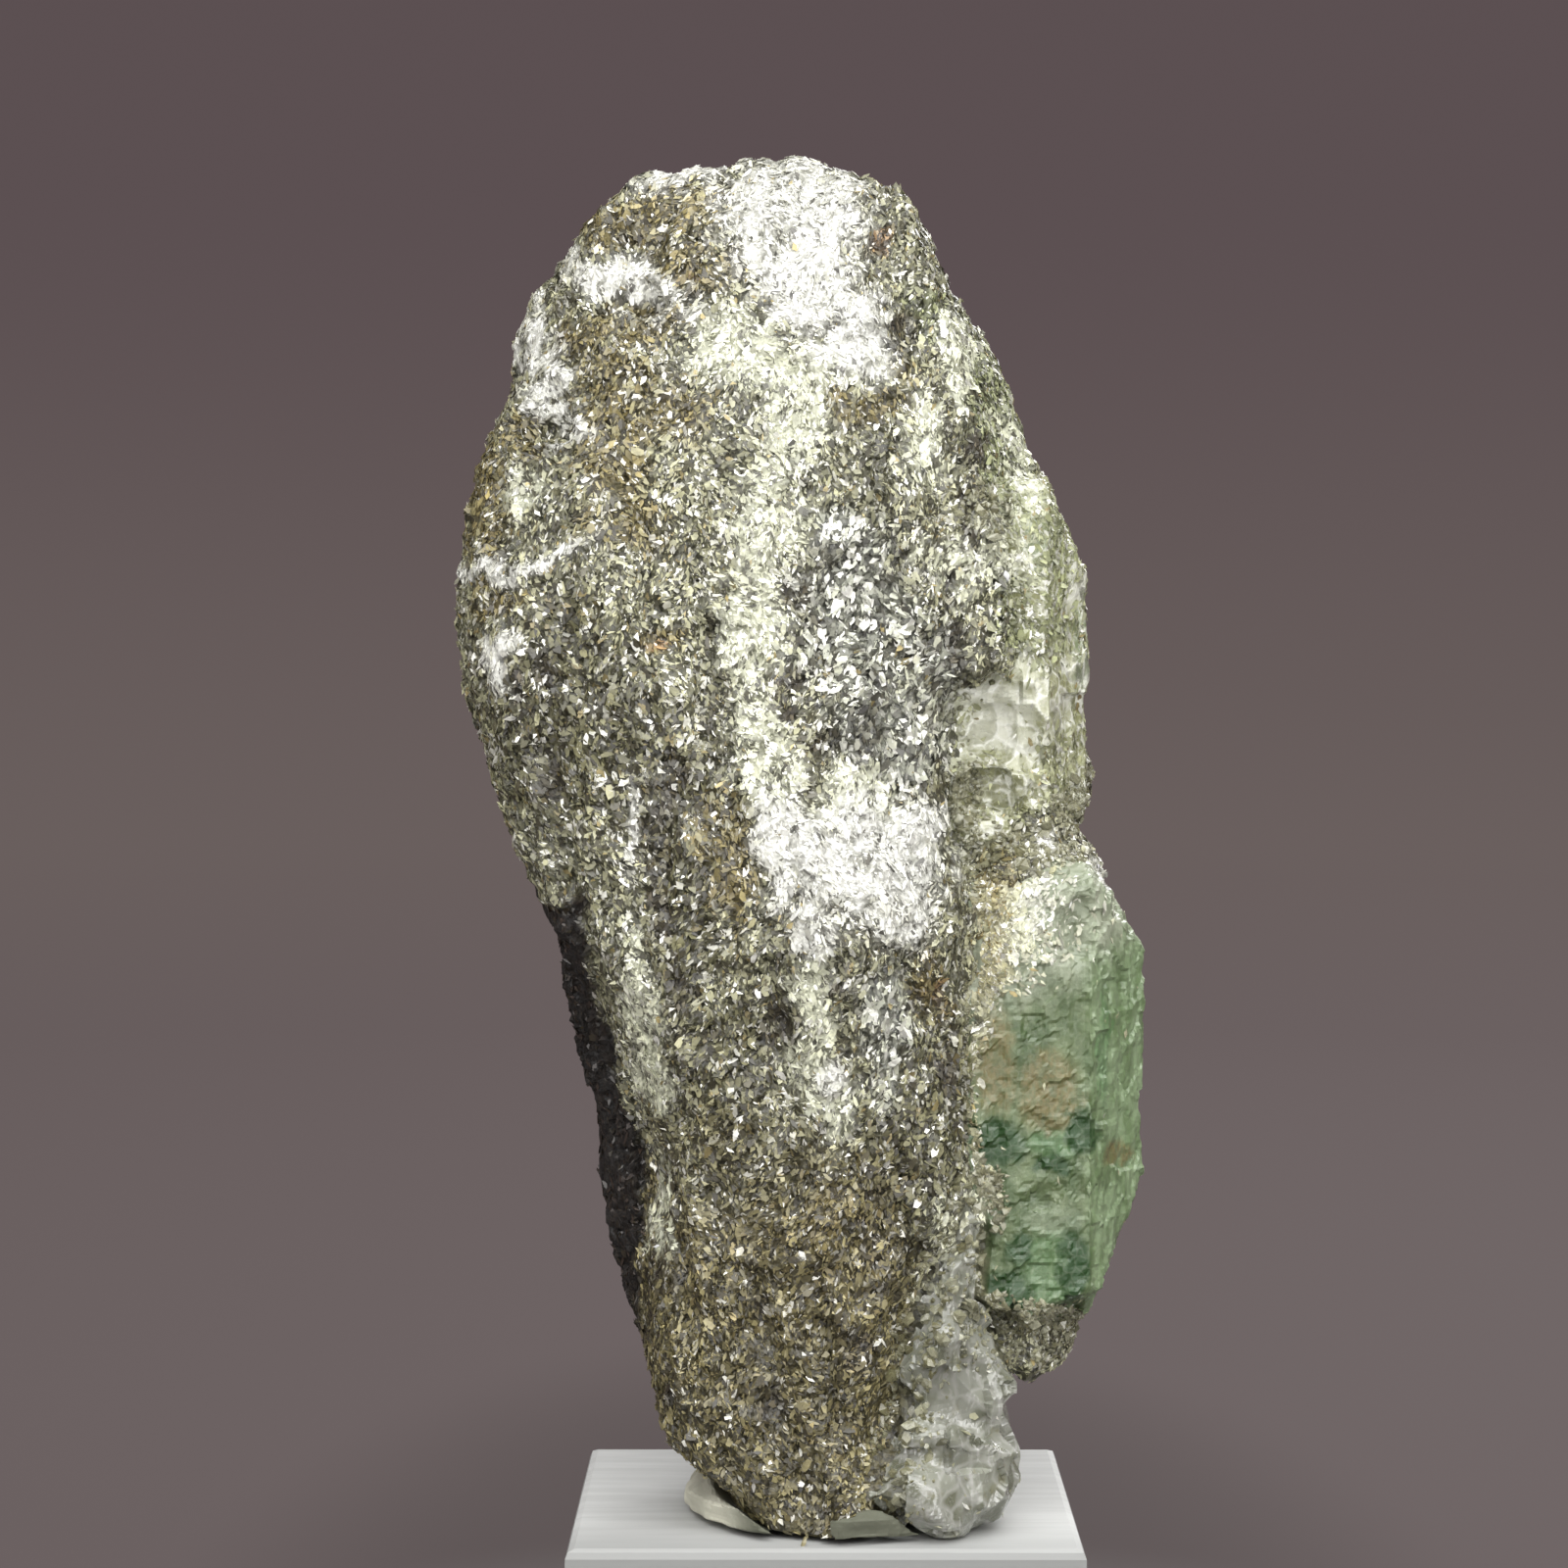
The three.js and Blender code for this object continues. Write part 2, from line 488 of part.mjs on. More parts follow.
const FINISHES = {
  display_block: { color: 0xd9dbd8, roughness: 0.45 },
  mounting_putty: { color: 0xd3d2c4, roughness: 0.8 },
  schist_matrix: { color: 0x8c8463, roughness: 0.4, metalness: 0.3 },
  emerald_crystal: { color: 0x5f9e6d, roughness: 0.3 },
  pale_beryl_crystal: { color: 0xa3ab8c, roughness: 0.3 },
  quartz_mass: { color: 0xb9bdb2, roughness: 0.25 },
};

function piece(name, geometry) {
  const material = new THREE.MeshStandardMaterial({ ...FINISHES[name], flatShading: true });
  const mesh = new THREE.Mesh(geometry, material);
  mesh.name = name;
  return mesh;
}

const schist = schistSolid();
const quartz = quartzSolid();

const specimen = new THREE.Group();
specimen.position.z = BLOCK_HEIGHT;
specimen.add(
  piece("schist_matrix", toGeometry(schist)),
  piece("emerald_crystal", toGeometry(emeraldSolid())),
  piece("pale_beryl_crystal", toGeometry(berylSolid())),
  piece("quartz_mass", toGeometry(quartz)),
  piece("mounting_putty", toGeometry(puttySolid([schist, quartz]))),
);

const display = new THREE.Group();
display.add(piece("display_block", blockGeometry()), specimen);
export default display;
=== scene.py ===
# %% [markdown]
# # Emerald in mica schist
#
# A hand specimen of minerals: a slab of glittering mica schist with a green emerald and a paler beryl
# grown into its right side and broken quartz at its foot. It is pressed into a pad of putty on a white
# block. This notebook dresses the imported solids: each cell below makes one finish or one piece, in
# metres, in the frame that the solids already share, so nothing has to be fitted afterwards.

# %% The frame
import itertools
import math

import bmesh
import bpy
import numpy as np
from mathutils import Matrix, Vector
from mathutils.bvhtree import BVHTree


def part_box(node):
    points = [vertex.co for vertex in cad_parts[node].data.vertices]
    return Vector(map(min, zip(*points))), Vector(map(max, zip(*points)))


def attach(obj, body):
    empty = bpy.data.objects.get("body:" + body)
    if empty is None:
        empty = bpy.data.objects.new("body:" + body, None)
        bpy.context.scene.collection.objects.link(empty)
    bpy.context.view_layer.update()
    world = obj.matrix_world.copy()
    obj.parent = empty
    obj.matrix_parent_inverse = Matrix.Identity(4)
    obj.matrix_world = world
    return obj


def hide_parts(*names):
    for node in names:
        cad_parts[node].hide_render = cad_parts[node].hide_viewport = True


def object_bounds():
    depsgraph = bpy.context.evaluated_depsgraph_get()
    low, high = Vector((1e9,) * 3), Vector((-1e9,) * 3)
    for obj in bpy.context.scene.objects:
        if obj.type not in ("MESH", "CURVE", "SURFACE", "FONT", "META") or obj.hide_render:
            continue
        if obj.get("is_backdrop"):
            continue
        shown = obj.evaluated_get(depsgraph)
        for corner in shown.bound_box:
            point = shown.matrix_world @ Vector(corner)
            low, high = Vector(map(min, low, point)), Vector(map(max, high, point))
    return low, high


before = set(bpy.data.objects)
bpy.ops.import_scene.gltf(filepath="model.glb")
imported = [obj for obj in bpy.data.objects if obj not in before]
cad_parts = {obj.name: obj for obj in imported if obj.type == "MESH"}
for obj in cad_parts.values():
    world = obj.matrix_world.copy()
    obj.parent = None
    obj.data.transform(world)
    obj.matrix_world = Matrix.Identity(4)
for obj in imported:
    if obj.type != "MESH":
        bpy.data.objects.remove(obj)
cad_low, cad_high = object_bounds()
print("the solids' box, in metres:", cad_low[:], cad_high[:])

# %% [markdown]
# ## Units and heights
#
# Mineral grains are about a millimetre across, so sizes here are written in millimetres and multiplied
# by MM where Blender wants metres. The rock stands on the block, so heights on the rock are counted from
# the block's top.

# %% Units and heights
MM = 0.001
BLOCK_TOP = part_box("display_block")[1].z / MM
ROCK_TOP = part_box("schist_matrix")[1].z / MM - BLOCK_TOP
print(f"the block is {BLOCK_TOP:.1f} mm high and the rock {ROCK_TOP:.1f} mm")

# %% [markdown]
# ## The camera
#
# The block is square, so the way its top narrows towards the back fixes the lens: the photograph was
# taken with a long lens from about 0.34 m, at two thirds of the rock's height. The camera is set to that
# place and turned by given angles instead of being aimed, because the photograph is not centred on
# the rock.

# %% The camera
PHOTO_SIDE = 1600
FOCAL_LENGTH_PIXELS = 4269
SENSOR = 36
EYE = Vector((-2.2, -338, BLOCK_TOP + 71)) * MM
LOOKS_DOWN = math.radians(2.2)
TURNS_LEFT = math.radians(0.18)

camera_data = bpy.data.cameras.new("photo_camera")
camera_data.sensor_width = SENSOR
camera_data.lens = SENSOR * FOCAL_LENGTH_PIXELS / PHOTO_SIDE
camera_data.clip_start = 0.01
camera = bpy.data.objects.new("photo_camera", camera_data)
camera.location = EYE
camera.rotation_euler = (math.pi / 2 - LOOKS_DOWN, 0, TURNS_LEFT)
bpy.context.scene.collection.objects.link(camera)
bpy.context.scene.camera = camera
bpy.context.scene.view_settings.view_transform = "Standard"
print(f"lens {camera_data.lens:.1f} mm, {-EYE.y:.3f} m in front of the block's middle")

# %% [markdown]
# ## Writing shader maths as expressions
#
# A material is a tree of small nodes. Placing and linking each one by hand hides what is being worked
# out, so a Term wraps one output of the tree and overloads the operators: `1 - mask * 0.5` adds two Math
# nodes and returns a new Term. Every other kind of node comes from Finish.node, which sets the node's
# settings first and then its sockets, since some settings change which sockets there are.

# %% Terms
class Term:
    """One output of a material's node tree."""

    def __init__(self, finish, socket):
        self.finish = finish
        self.socket = socket

    def math(self, operation, *terms):
        return self.finish.node("Math", {"operation": operation}, dict(enumerate(terms)))

    def __add__(self, other):
        return self.math("ADD", self, other)

    def __radd__(self, other):
        return self.math("ADD", other, self)

    def __sub__(self, other):
        return self.math("SUBTRACT", self, other)

    def __rsub__(self, other):
        return self.math("SUBTRACT", other, self)

    def __mul__(self, other):
        return self.math("MULTIPLY", self, other)

    def __rmul__(self, other):
        return self.math("MULTIPLY", other, self)

    def size(self):
        return self.math("ABSOLUTE", self)

    def stepped(self, low, high):
        """0 below low, 1 above high, and smooth between."""
        sockets = {"Value": self, "From Min": low, "From Max": high}
        return self.finish.node("MapRange", {"interpolation_type": "SMOOTHSTEP"}, sockets)


print("terms ready")

# %% Finishes
class Finish:
    """A material with one Principled surface."""

    def __init__(self, name, **uniform):
        self.material = bpy.data.materials.new(name)
        self.material.use_nodes = True
        self.tree = self.material.node_tree
        self.surface = self.tree.nodes["Principled BSDF"]
        for socket, value in uniform.items():
            self.surface.inputs[socket.replace("_", " ")].default_value = value

    def node(self, kind, settings=None, sockets=None, output=0):
        node = self.tree.nodes.new("ShaderNode" + kind)
        for name, value in (settings or {}).items():
            setattr(node, name, value)
        for name, value in (sockets or {}).items():
            self.feed(node.inputs[name], value)
        return Term(self, node.outputs[output])

    def feed(self, socket, value):
        if isinstance(value, Term):
            self.tree.links.new(value.socket, socket)
        else:
            socket.default_value = value

    def drive(self, **sockets):
        for name, value in sockets.items():
            self.feed(self.surface.inputs[name.replace("_", " ")], value)

    def vector(self, operation, *terms, output=0, **sockets):
        """Vector maths, which also serves for colours."""
        return self.node("VectorMath", {"operation": operation}, dict(enumerate(terms)) | sockets, output)

    def random_way(self, colours, amount):
        """A vector that points at random, made from random colours."""
        return self.vector("SCALE", self.vector("SUBTRACT", colours, (0.5, 0.5, 0.5)), Scale=amount)

    def place(self, scale=(1, 1, 1)):
        """Object coordinates in millimetres, stretched by a scale of their own."""
        at = self.node("TexCoord", output="Object")
        per_mm = [number / MM for number in scale]
        return self.node("Mapping", {"vector_type": "POINT"}, {"Vector": at, "Scale": per_mm})

    def bent(self, amount, size, scale=(1, 1, 1)):
        """Coordinates that wander by up to amount millimetres, so that cells lose their straight edges."""
        wander = self.noise(size, detail=3, output="Color")
        return self.vector("ADD", self.place(scale), self.random_way(wander, 2 * amount))

    def noise(self, size, detail=2, place=None, output=0):
        """Cloudy values from 0 to 1 that change over about size millimetres."""
        sockets = {"Vector": place or self.place(), "Scale": 1 / size, "Detail": detail}
        return self.node("TexNoise", {"noise_dimensions": "3D"}, sockets, output)

    def cells(self, size, place, feature="F1", output="Color"):
        """Random cells about size millimetres across."""
        sockets = {"Vector": place, "Scale": 1 / size}
        return self.node("TexVoronoi", {"feature": feature}, sockets, output)

    def channel(self, colours, number):
        """One of a colour's three numbers, counted from 0."""
        return self.node("SeparateColor", {}, {"Color": colours}, number)

    def axes(self, vector):
        """The three numbers of a vector, by the names of their axes."""
        parts = self.tree.nodes.new("ShaderNodeSeparateXYZ")
        self.feed(parts.inputs[0], vector)
        return {axis: Term(self, parts.outputs[i]) for i, axis in enumerate("xyz")}

    def blend(self, factor, first, second):
        """The first colour where factor is 0 and the second where it is 1."""
        sockets = {"Factor": factor, 6: opaque(first), 7: opaque(second)}
        return self.node("Mix", {"data_type": "RGBA"}, sockets, output=2)

    def kept_colour(self, name):
        """The colour that the mesh keeps under this name."""
        return self.node("Attribute", {"attribute_name": name}, output="Color")

    def bump(self, height, distance, strength, facing=None):
        """Shades the surface as if height raised it by distance millimetres, starting from its facing."""
        sockets = {"Height": height, "Distance": distance * MM, "Strength": strength}
        if facing is not None:
            sockets["Normal"] = facing
        self.drive(Normal=self.node("Bump", {}, sockets))


def opaque(value):
    """A Term as it is, and three numbers as an opaque colour."""
    return value if isinstance(value, Term) else (*value, 1)


print("finishes ready")

# %% [markdown]
# ## Random fields
#
# Rock is irregular at every size. The same smooth random field, a cheap cousin of Perlin noise, moves
# the surface and paints the minerals, so colour and shape agree. It is worked out on whole arrays of
# points at once, and it has no state, so every run gives the same rock. The few true dice rolls come
# from one seeded generator.

# %% Random fields
rng = np.random.default_rng(41)
# Large numbers that mix up a cell's place, so that neighbouring cells get unlike values.
STIR_X, STIR_Y, STIR_Z, STIR_SEED = 73856093, 19349663, 83492791, 40503
STIR_ONCE, STIR_AGAIN = 2246822519, 3266489917
LOW_BITS = 0xFFFFFFFF


def field(points, size, seed=0):
    """Smooth values from -1 to 1 that change over about size millimetres, which is one number or three."""
    scaled = points / np.asarray(size, float) + 31.7 * seed
    cell = np.floor(scaled).astype(np.int64)
    part = scaled - cell
    part = part * part * (3 - 2 * part)
    total = np.zeros(len(points))
    for corner in itertools.product((0, 1), repeat=3):
        at = cell + corner
        mixed = at[:, 0] * STIR_X ^ at[:, 1] * STIR_Y ^ at[:, 2] * STIR_Z ^ seed * STIR_SEED
        mixed = (mixed ^ (mixed >> 15)) * STIR_ONCE & LOW_BITS
        mixed = (mixed ^ (mixed >> 13)) * STIR_AGAIN & LOW_BITS
        weight = np.prod(np.where(corner, part, 1 - part), axis=1)
        total += weight * (mixed / 2**31 - 1)
    return total


def ridges(points, size, seed=0):
    """Like field, but with sharp crests at 1."""
    return 1 - 2 * np.abs(field(points, size, seed))


def smooth_step(values, low, high):
    """0 below low, 1 above high, and smooth between."""
    t = np.clip((values - low) / (high - low), 0, 1)
    return t * t * (3 - 2 * t)


def veins(points, size, seed, width=0.12):
    """1 along thin curving lines about size millimetres apart, 0 between them."""
    return 1 - smooth_step(np.abs(field(points, size, seed)), 0.3 * width, width)


def unit(vectors):
    return vectors / np.linalg.norm(vectors, axis=1, keepdims=True)


print("the field at three points:", field(5.5 * np.eye(3), 2).round(2))

# %% [markdown]
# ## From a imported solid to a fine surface
#
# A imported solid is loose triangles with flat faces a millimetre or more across. A copy of it is merged,
# and a voxel remesh turns it into an even net that can carry fine relief. Subdividing would also add
# points, but it keeps the long thin triangles of the cuts, which wrinkle when they are moved.

# %% Fine copies of solids
def merged_copy(nodes, name):
    """A new piece made of some solids, with their shared corners merged."""
    sheet = bmesh.new()
    for node in nodes:
        sheet.from_mesh(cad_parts[node].data)
    bmesh.ops.remove_doubles(sheet, verts=sheet.verts, dist=1e-6)
    mesh = bpy.data.meshes.new(name)
    sheet.to_mesh(mesh)
    sheet.free()
    piece = bpy.data.objects.new(name, mesh)
    bpy.context.scene.collection.objects.link(piece)
    return piece


def remeshed(piece, voxel):
    """Rebuilds the piece's surface on a grid of voxel millimetres."""
    modifier = piece.modifiers.new("even_net", "REMESH")
    modifier.mode = "VOXEL"
    modifier.voxel_size = voxel * MM
    evaluated = piece.evaluated_get(bpy.context.evaluated_depsgraph_get())
    fine = bpy.data.meshes.new_from_object(evaluated)
    piece.modifiers.clear()
    piece.data = fine
    fine.name = piece.name
    return piece


def relax(piece, times):
    """Moves every point half way to the middle of its neighbours, some times over."""
    sheet = bmesh.new()
    sheet.from_mesh(piece.data)
    for _ in range(times):
        bmesh.ops.smooth_vert(
            sheet, verts=sheet.verts, factor=0.5, use_axis_x=True, use_axis_y=True, use_axis_z=True
        )
    sheet.to_mesh(piece.data)
    sheet.free()


def read_points(mesh):
    """Places in millimetres from the block's top, and outward directions, of a mesh's points."""
    places = np.empty(len(mesh.vertices) * 3)
    mesh.vertices.foreach_get("co", places)
    outward = np.empty(len(mesh.vertices) * 3, np.float32)
    mesh.vertex_normals.foreach_get("vector", outward)
    places = places.reshape(-1, 3) / MM - (0, 0, BLOCK_TOP)
    return places, outward.reshape(-1, 3).astype(float)


def move_points(mesh, places):
    """Puts a mesh's points at places in millimetres from the block's top."""
    mesh.vertices.foreach_set("co", ((places + (0, 0, BLOCK_TOP)) * MM).ravel())
    mesh.update()


print("helpers for fine surfaces ready")

# %% Random cells
def near_cells(points, size, seed):
    """The 27 cells round each point, one after the other, on a grid of cells size across. Each gives the way
    from its random middle to the point, its random tilt and its random tone."""
    low = points.min(0) - size
    counts = np.ceil((points.max(0) + size - low) / size).astype(int)
    cell = np.floor((points - low) / size).astype(int)
    local = np.random.default_rng(seed)
    middles = local.random((*counts, 3))
    tilts = local.normal(size=(*counts, 3))
    for step in itertools.product((-1, 0, 1), repeat=3):
        near = np.clip(cell + step, 0, counts - 1)
        index = tuple(near.T)
        yield points - (low + (near + middles[index]) * size), tilts[index], middles[index][:, 0]


def facets(points, size, seed, slope):
    """Offsets that tilt each cell's surface its own way, as broken grains do, and the tone of each cell."""
    nearest = np.full(len(points), np.inf)
    offset = np.zeros(len(points))
    tone = np.zeros(len(points))
    for away, tilt, own_tone in near_cells(points, size, seed):
        distance = (away**2).sum(1)
        closer = distance < nearest
        nearest[closer] = distance[closer]
        offset[closer] = (away * unit(tilt)).sum(1)[closer]
        tone[closer] = own_tone[closer]
    return slope * offset, tone


def shells(points, size, seed, depth, slope):
    """Offsets of hollow, tilted bowls that meet in sharp crests, as glassy stone breaks."""
    offset = np.full(len(points), np.inf)
    for away, tilt, _ in near_cells(points, size, seed):
        bowl = depth * (away**2).sum(1) / size**2 + slope * (away * tilt).sum(1)
        offset = np.minimum(offset, bowl)
    return offset - offset.mean()


print("random cells ready")

# %% [markdown]
# ## Where each mineral shows
#
# The colours of the rock are mostly its minerals: each patch is a different crowd of mica flakes. The
# white patches also carry painted light where shelves face the light from above, and the dark patches and
# the hollow under the ledge carry painted shade. So the patches are written down once, as soft leaning
# ellipses on the front (place across, height, half sizes, clockwise lean in degrees), as the rock looks
# from the front at arm's length, and both the rock and its flakes ask the same function. Round the back,
# where no photograph reaches, broad fields of the same minerals take over.

# %% Mineral patches on the front
# White patches: the pale mica's own white, with painted light where shelves face the light from above.
WHITE_AND_LIT = [
    (-2.5, 103.4, 6.4, 5.0, 0), (-1.4, 98.6, 4.8, 4.0, 10), (2.2, 94.4, 3.4, 4.0, 20),
    (-11.4, 107.4, 4.6, 1.0, -10), (-16.0, 98.2, 6.0, 1.9, 20), (-23.4, 94.0, 1.4, 3.2, 0),
    (-22.0, 88.0, 3.4, 1.2, 38), (-21.6, 91.4, 0.9, 2.8, 0), (-26.6, 75.3, 4.0, 0.8, -3),
    (-21.3, 76.6, 3.0, 0.6, -22), (-26.3, 68.0, 1.1, 1.9, 0), (3.2, 51.6, 7.0, 5.2, 0),
    (7.6, 55.6, 3.0, 2.2, 0), (-2.6, 53.0, 2.8, 5.2, 0), (-0.8, 46.0, 2.2, 2.6, 0),
    (6.5, 47.0, 3.0, 2.2, 0), (18.0, 53.0, 2.4, 0.9, -45), (21.8, 49.2, 2.4, 2.6, 30),
    (18.4, 47.8, 2.6, 2.2, 0), (-15.9, 53.8, 0.6, 4.2, 4), (0.6, 34.0, 0.8, 2.4, 0),
]
PALE = [
    (-1.8, 88.0, 3.0, 6.0, 0), (-4.7, 79.4, 3.4, 6.0, 6), (-5.7, 71.5, 2.5, 7.0, 0),
    (-5.6, 63.5, 2.2, 5.5, 0), (-4.0, 58.4, 2.4, 3.6, 0), (-6.5, 93.0, 4.5, 3.0, 0),
    (1.5, 91.5, 3.6, 2.2, 0), (-1.0, 38.5, 2.0, 5.5, 0), (0.6, 32.0, 1.6, 3.2, 0),
    (-14.8, 40.0, 1.2, 6.5, -8), (10.6, 75.6, 2.8, 2.6, 0), (15.4, 84.0, 1.2, 4.0, -20),
    (-24.4, 81.6, 1.7, 2.4, 0), (10.8, 92.0, 1.6, 3.6, -10), (13.6, 77.0, 2.6, 3.0, 0),
    (3.0, 56.5, 4.0, 2.4, 0), (8.0, 86.0, 2.0, 4.0, 0), (12.8, 23.8, 1.4, 2.4, 0),
    (10.4, 19.0, 1.4, 4.6, 0), (-12.9, 23.5, 0.6, 4.4, 6), (-13.9, 33.8, 1.1, 2.6, 0),
]
GOLDEN = [
    (-13.0, 104.0, 6.4, 3.0, -5), (-17.4, 103.3, 2.4, 1.6, 0), (-11.0, 99.4, 3.4, 2.0, 10),
    (-7.2, 100.4, 1.6, 1.0, 0), (-18.6, 93.4, 2.4, 3.2, 0), (-14.6, 94.6, 3.6, 1.6, 0),
    (-16.6, 88.0, 3.8, 4.2, 0), (-12.0, 88.6, 2.4, 2.6, 0), (-17.4, 83.4, 3.6, 3.0, 0),
    (-15.4, 78.8, 3.2, 2.4, 0), (-27.6, 82.8, 2.0, 4.4, 0), (-24.4, 86.0, 2.2, 1.6, 0),
    (-27.2, 78.4, 2.2, 2.6, 0), (-26.4, 73.2, 2.4, 1.2, 0), (-13.6, 69.2, 2.0, 1.5, 0),
    (3.2, 88.6, 2.4, 1.5, 0), (5.4, 91.2, 1.6, 1.2, 0), (-7.9, 51.0, 2.0, 6.0, -6),
    (8.6, 41.4, 1.7, 3.0, 0), (14.2, 50.6, 1.4, 3.4, 0), (0.4, 22.6, 2.0, 2.2, 0),
]
RUSTY = [
    (4.5, 101.6, 1.2, 0.7, 35), (9.3, 41.0, 1.0, 1.5, 0), (-10.4, 99.0, 0.7, 0.5, 0),
    (-13.4, 69.0, 1.0, 0.5, 0),
]
SILVER = [
    (2.5, 70.5, 5.0, 7.6, 0), (5.0, 62.0, 5.0, 4.5, 0), (2.6, 77.6, 3.4, 2.6, 0),
    (9.0, 68.0, 1.8, 4.0, 0), (6.0, 52.6, 4.4, 3.6, 0), (4.8, 37.8, 2.0, 4.4, 0),
]
OLIVE = [
    (13.6, 90.0, 1.8, 6.0, -15), (14.6, 84.0, 2.4, 6.0, -15), (17.6, 78.0, 3.0, 5.0, -20),
    (17.5, 71.5, 3.4, 6.0, 0), (8.4, 95.6, 1.6, 2.6, -10),
]
MURKY = [
    (-20.0, 62.0, 8.0, 7.0, 0), (-11.0, 57.0, 2.6, 5.0, 0), (-11.4, 48.0, 3.0, 9.0, 0),
    (-8.0, 35.0, 4.0, 6.0, 0), (-21.4, 70.6, 4.0, 3.4, 0), (6.4, 28.0, 4.0, 8.0, 0),
    (10.0, 60.0, 2.0, 5.0, 0), (10.4, 32.6, 1.7, 6.4, 0),
]
# Dark patches: dark mica, with painted shade in pits, along grooves and under ledges.
DARK_AND_SHADED = [
    (-1.8, 72.4, 1.2, 2.6, 15), (-2.6, 66.2, 1.4, 1.1, 0), (-2.9, 64.2, 1.3, 0.9, 0),
    (-0.3, 61.6, 1.2, 1.4, 20), (-13.6, 54.0, 1.4, 5.0, 0), (-13.2, 47.0, 0.9, 3.0, 0),
    (-22.2, 58.8, 1.6, 1.8, 0), (-12.2, 58.6, 1.4, 1.8, 0), (-21.8, 67.8, 1.2, 1.1, 0),
    (-24.8, 66.3, 0.8, 0.8, 0), (11.6, 79.2, 0.8, 3.6, -6), (12.2, 85.0, 0.7, 2.4, 0),
    (6.4, 94.6, 1.0, 2.2, 10), (10.2, 68.6, 0.8, 3.0, 0), (9.2, 73.6, 0.6, 1.6, 0),
    (-4.2, 37.8, 0.8, 1.8, 15), (1.6, 42.0, 1.2, 1.1, 0), (-9.4, 69.8, 0.7, 1.7, 0),
    (-9.5, 63.4, 0.6, 1.6, 0), (9.6, 36.0, 0.7, 2.0, 4), (-11.4, 18.6, 2.0, 0.9, -15),
    (-5.0, 15.8, 1.3, 1.1, 0), (3.0, 20.6, 1.2, 1.6, 0), (4.6, 17.6, 1.1, 0.8, 0),
    (2.6, 12.0, 0.9, 2.0, 0), (-12.6, 8.4, 0.9, 1.1, 0), (-4.0, 6.4, 1.5, 1.5, 0),
    (4.4, 24.6, 1.2, 0.7, 0), (21.2, 55.8, 1.0, 3.0, 0), (-12.0, 40.5, 0.8, 2.8, 0),
    (-20.6, 47.8, 2.4, 0.9, 0), (-10.5, 96.8, 0.8, 0.6, 20), (-15.8, 102.4, 1.0, 0.7, 0),
]
# The hollow below this ledge is painted dark: painted shade over the rock's own dark brown.
RECESS_EDGE = [  # height and place across of the ledge at the lower left, which hangs over a shaded recess
    (9, -14.0), (15, -14.6), (20, -14.2), (25, -14.0), (30, -15.0), (35, -16.8), (40, -18.0),
    (45, -19.4), (47.6, -19.8), (49, -22.6), (53, -24.8), (56, -27.5),
]
PATCHES = {
    "murky": MURKY, "golden": GOLDEN, "silver": SILVER, "olive": OLIVE, "pale": PALE, "white": WHITE_AND_LIT,
    "rusty": RUSTY, "dark": DARK_AND_SHADED,
}
print({name: len(patches) for name, patches in PATCHES.items()})

# %% Mineral shares at any point
EYE_DISTANCE = -EYE.y / MM
EYE_ACROSS = EYE.x / MM
EYE_HEIGHT = EYE.z / MM - BLOCK_TOP


def seen_from_front(points):
    """Where points lie across and up, as they look from the front, measured on the block's middle plane."""
    nearness = EYE_DISTANCE / (EYE_DISTANCE + points[:, 1])
    across = (points[:, 0] - EYE_ACROSS) * nearness + EYE_ACROSS
    return across, (points[:, 2] - EYE_HEIGHT) * nearness + EYE_HEIGHT


def patch_strength(across, height, patches, soft):
    """How deep inside the nearest patch each place is, from 0 to 1."""
    strength = np.zeros(len(across))
    for x, z, half_wide, half_tall, lean in patches:
        turn = math.radians(lean)
        dx, dz = across - x, height - z
        u = (dx * math.cos(turn) - dz * math.sin(turn)) / half_wide
        v = (dx * math.sin(turn) + dz * math.cos(turn)) / half_tall
        strength = np.maximum(strength, 1 - smooth_step(np.sqrt(u * u + v * v) + soft, 0.62, 1.3))
    return strength


def creased_shares(shares, points, height):
    """The shares broken up by thin dark lines between the grains, and by painted shade in the grooves of the
    silver zone.
    """
    lines = np.maximum(veins(points, 2.0, 85), 0.8 * veins(points, 0.95, 86))
    for name, faded in (("white", 0.4), ("pale", 0.45), ("golden", 0.5)):
        shares[name] = shares[name] * (1 - faded * lines)
    shares["dark"] = shares["dark"] * (0.55 + 0.45 * smooth_step(field(points, 0.8, 87), -0.3, 0.3))
    # Painted shade: the silver zone's grooves are darkened through the dark share.
    grooves = np.maximum(veins(points, (1.7, 1.7, 2.4), 90, 0.2), veins(points, 1.3, 91, 0.12))
    shares["silver"] = shares["silver"] * (1 - 0.8 * shares["white"])
    creased = smooth_step(height, 56, 60) * (1 - smooth_step(height, 76, 79))
    shares["dark"] = np.maximum(shares["dark"], 0.6 * grooves * creased * shares["silver"])
    return shares


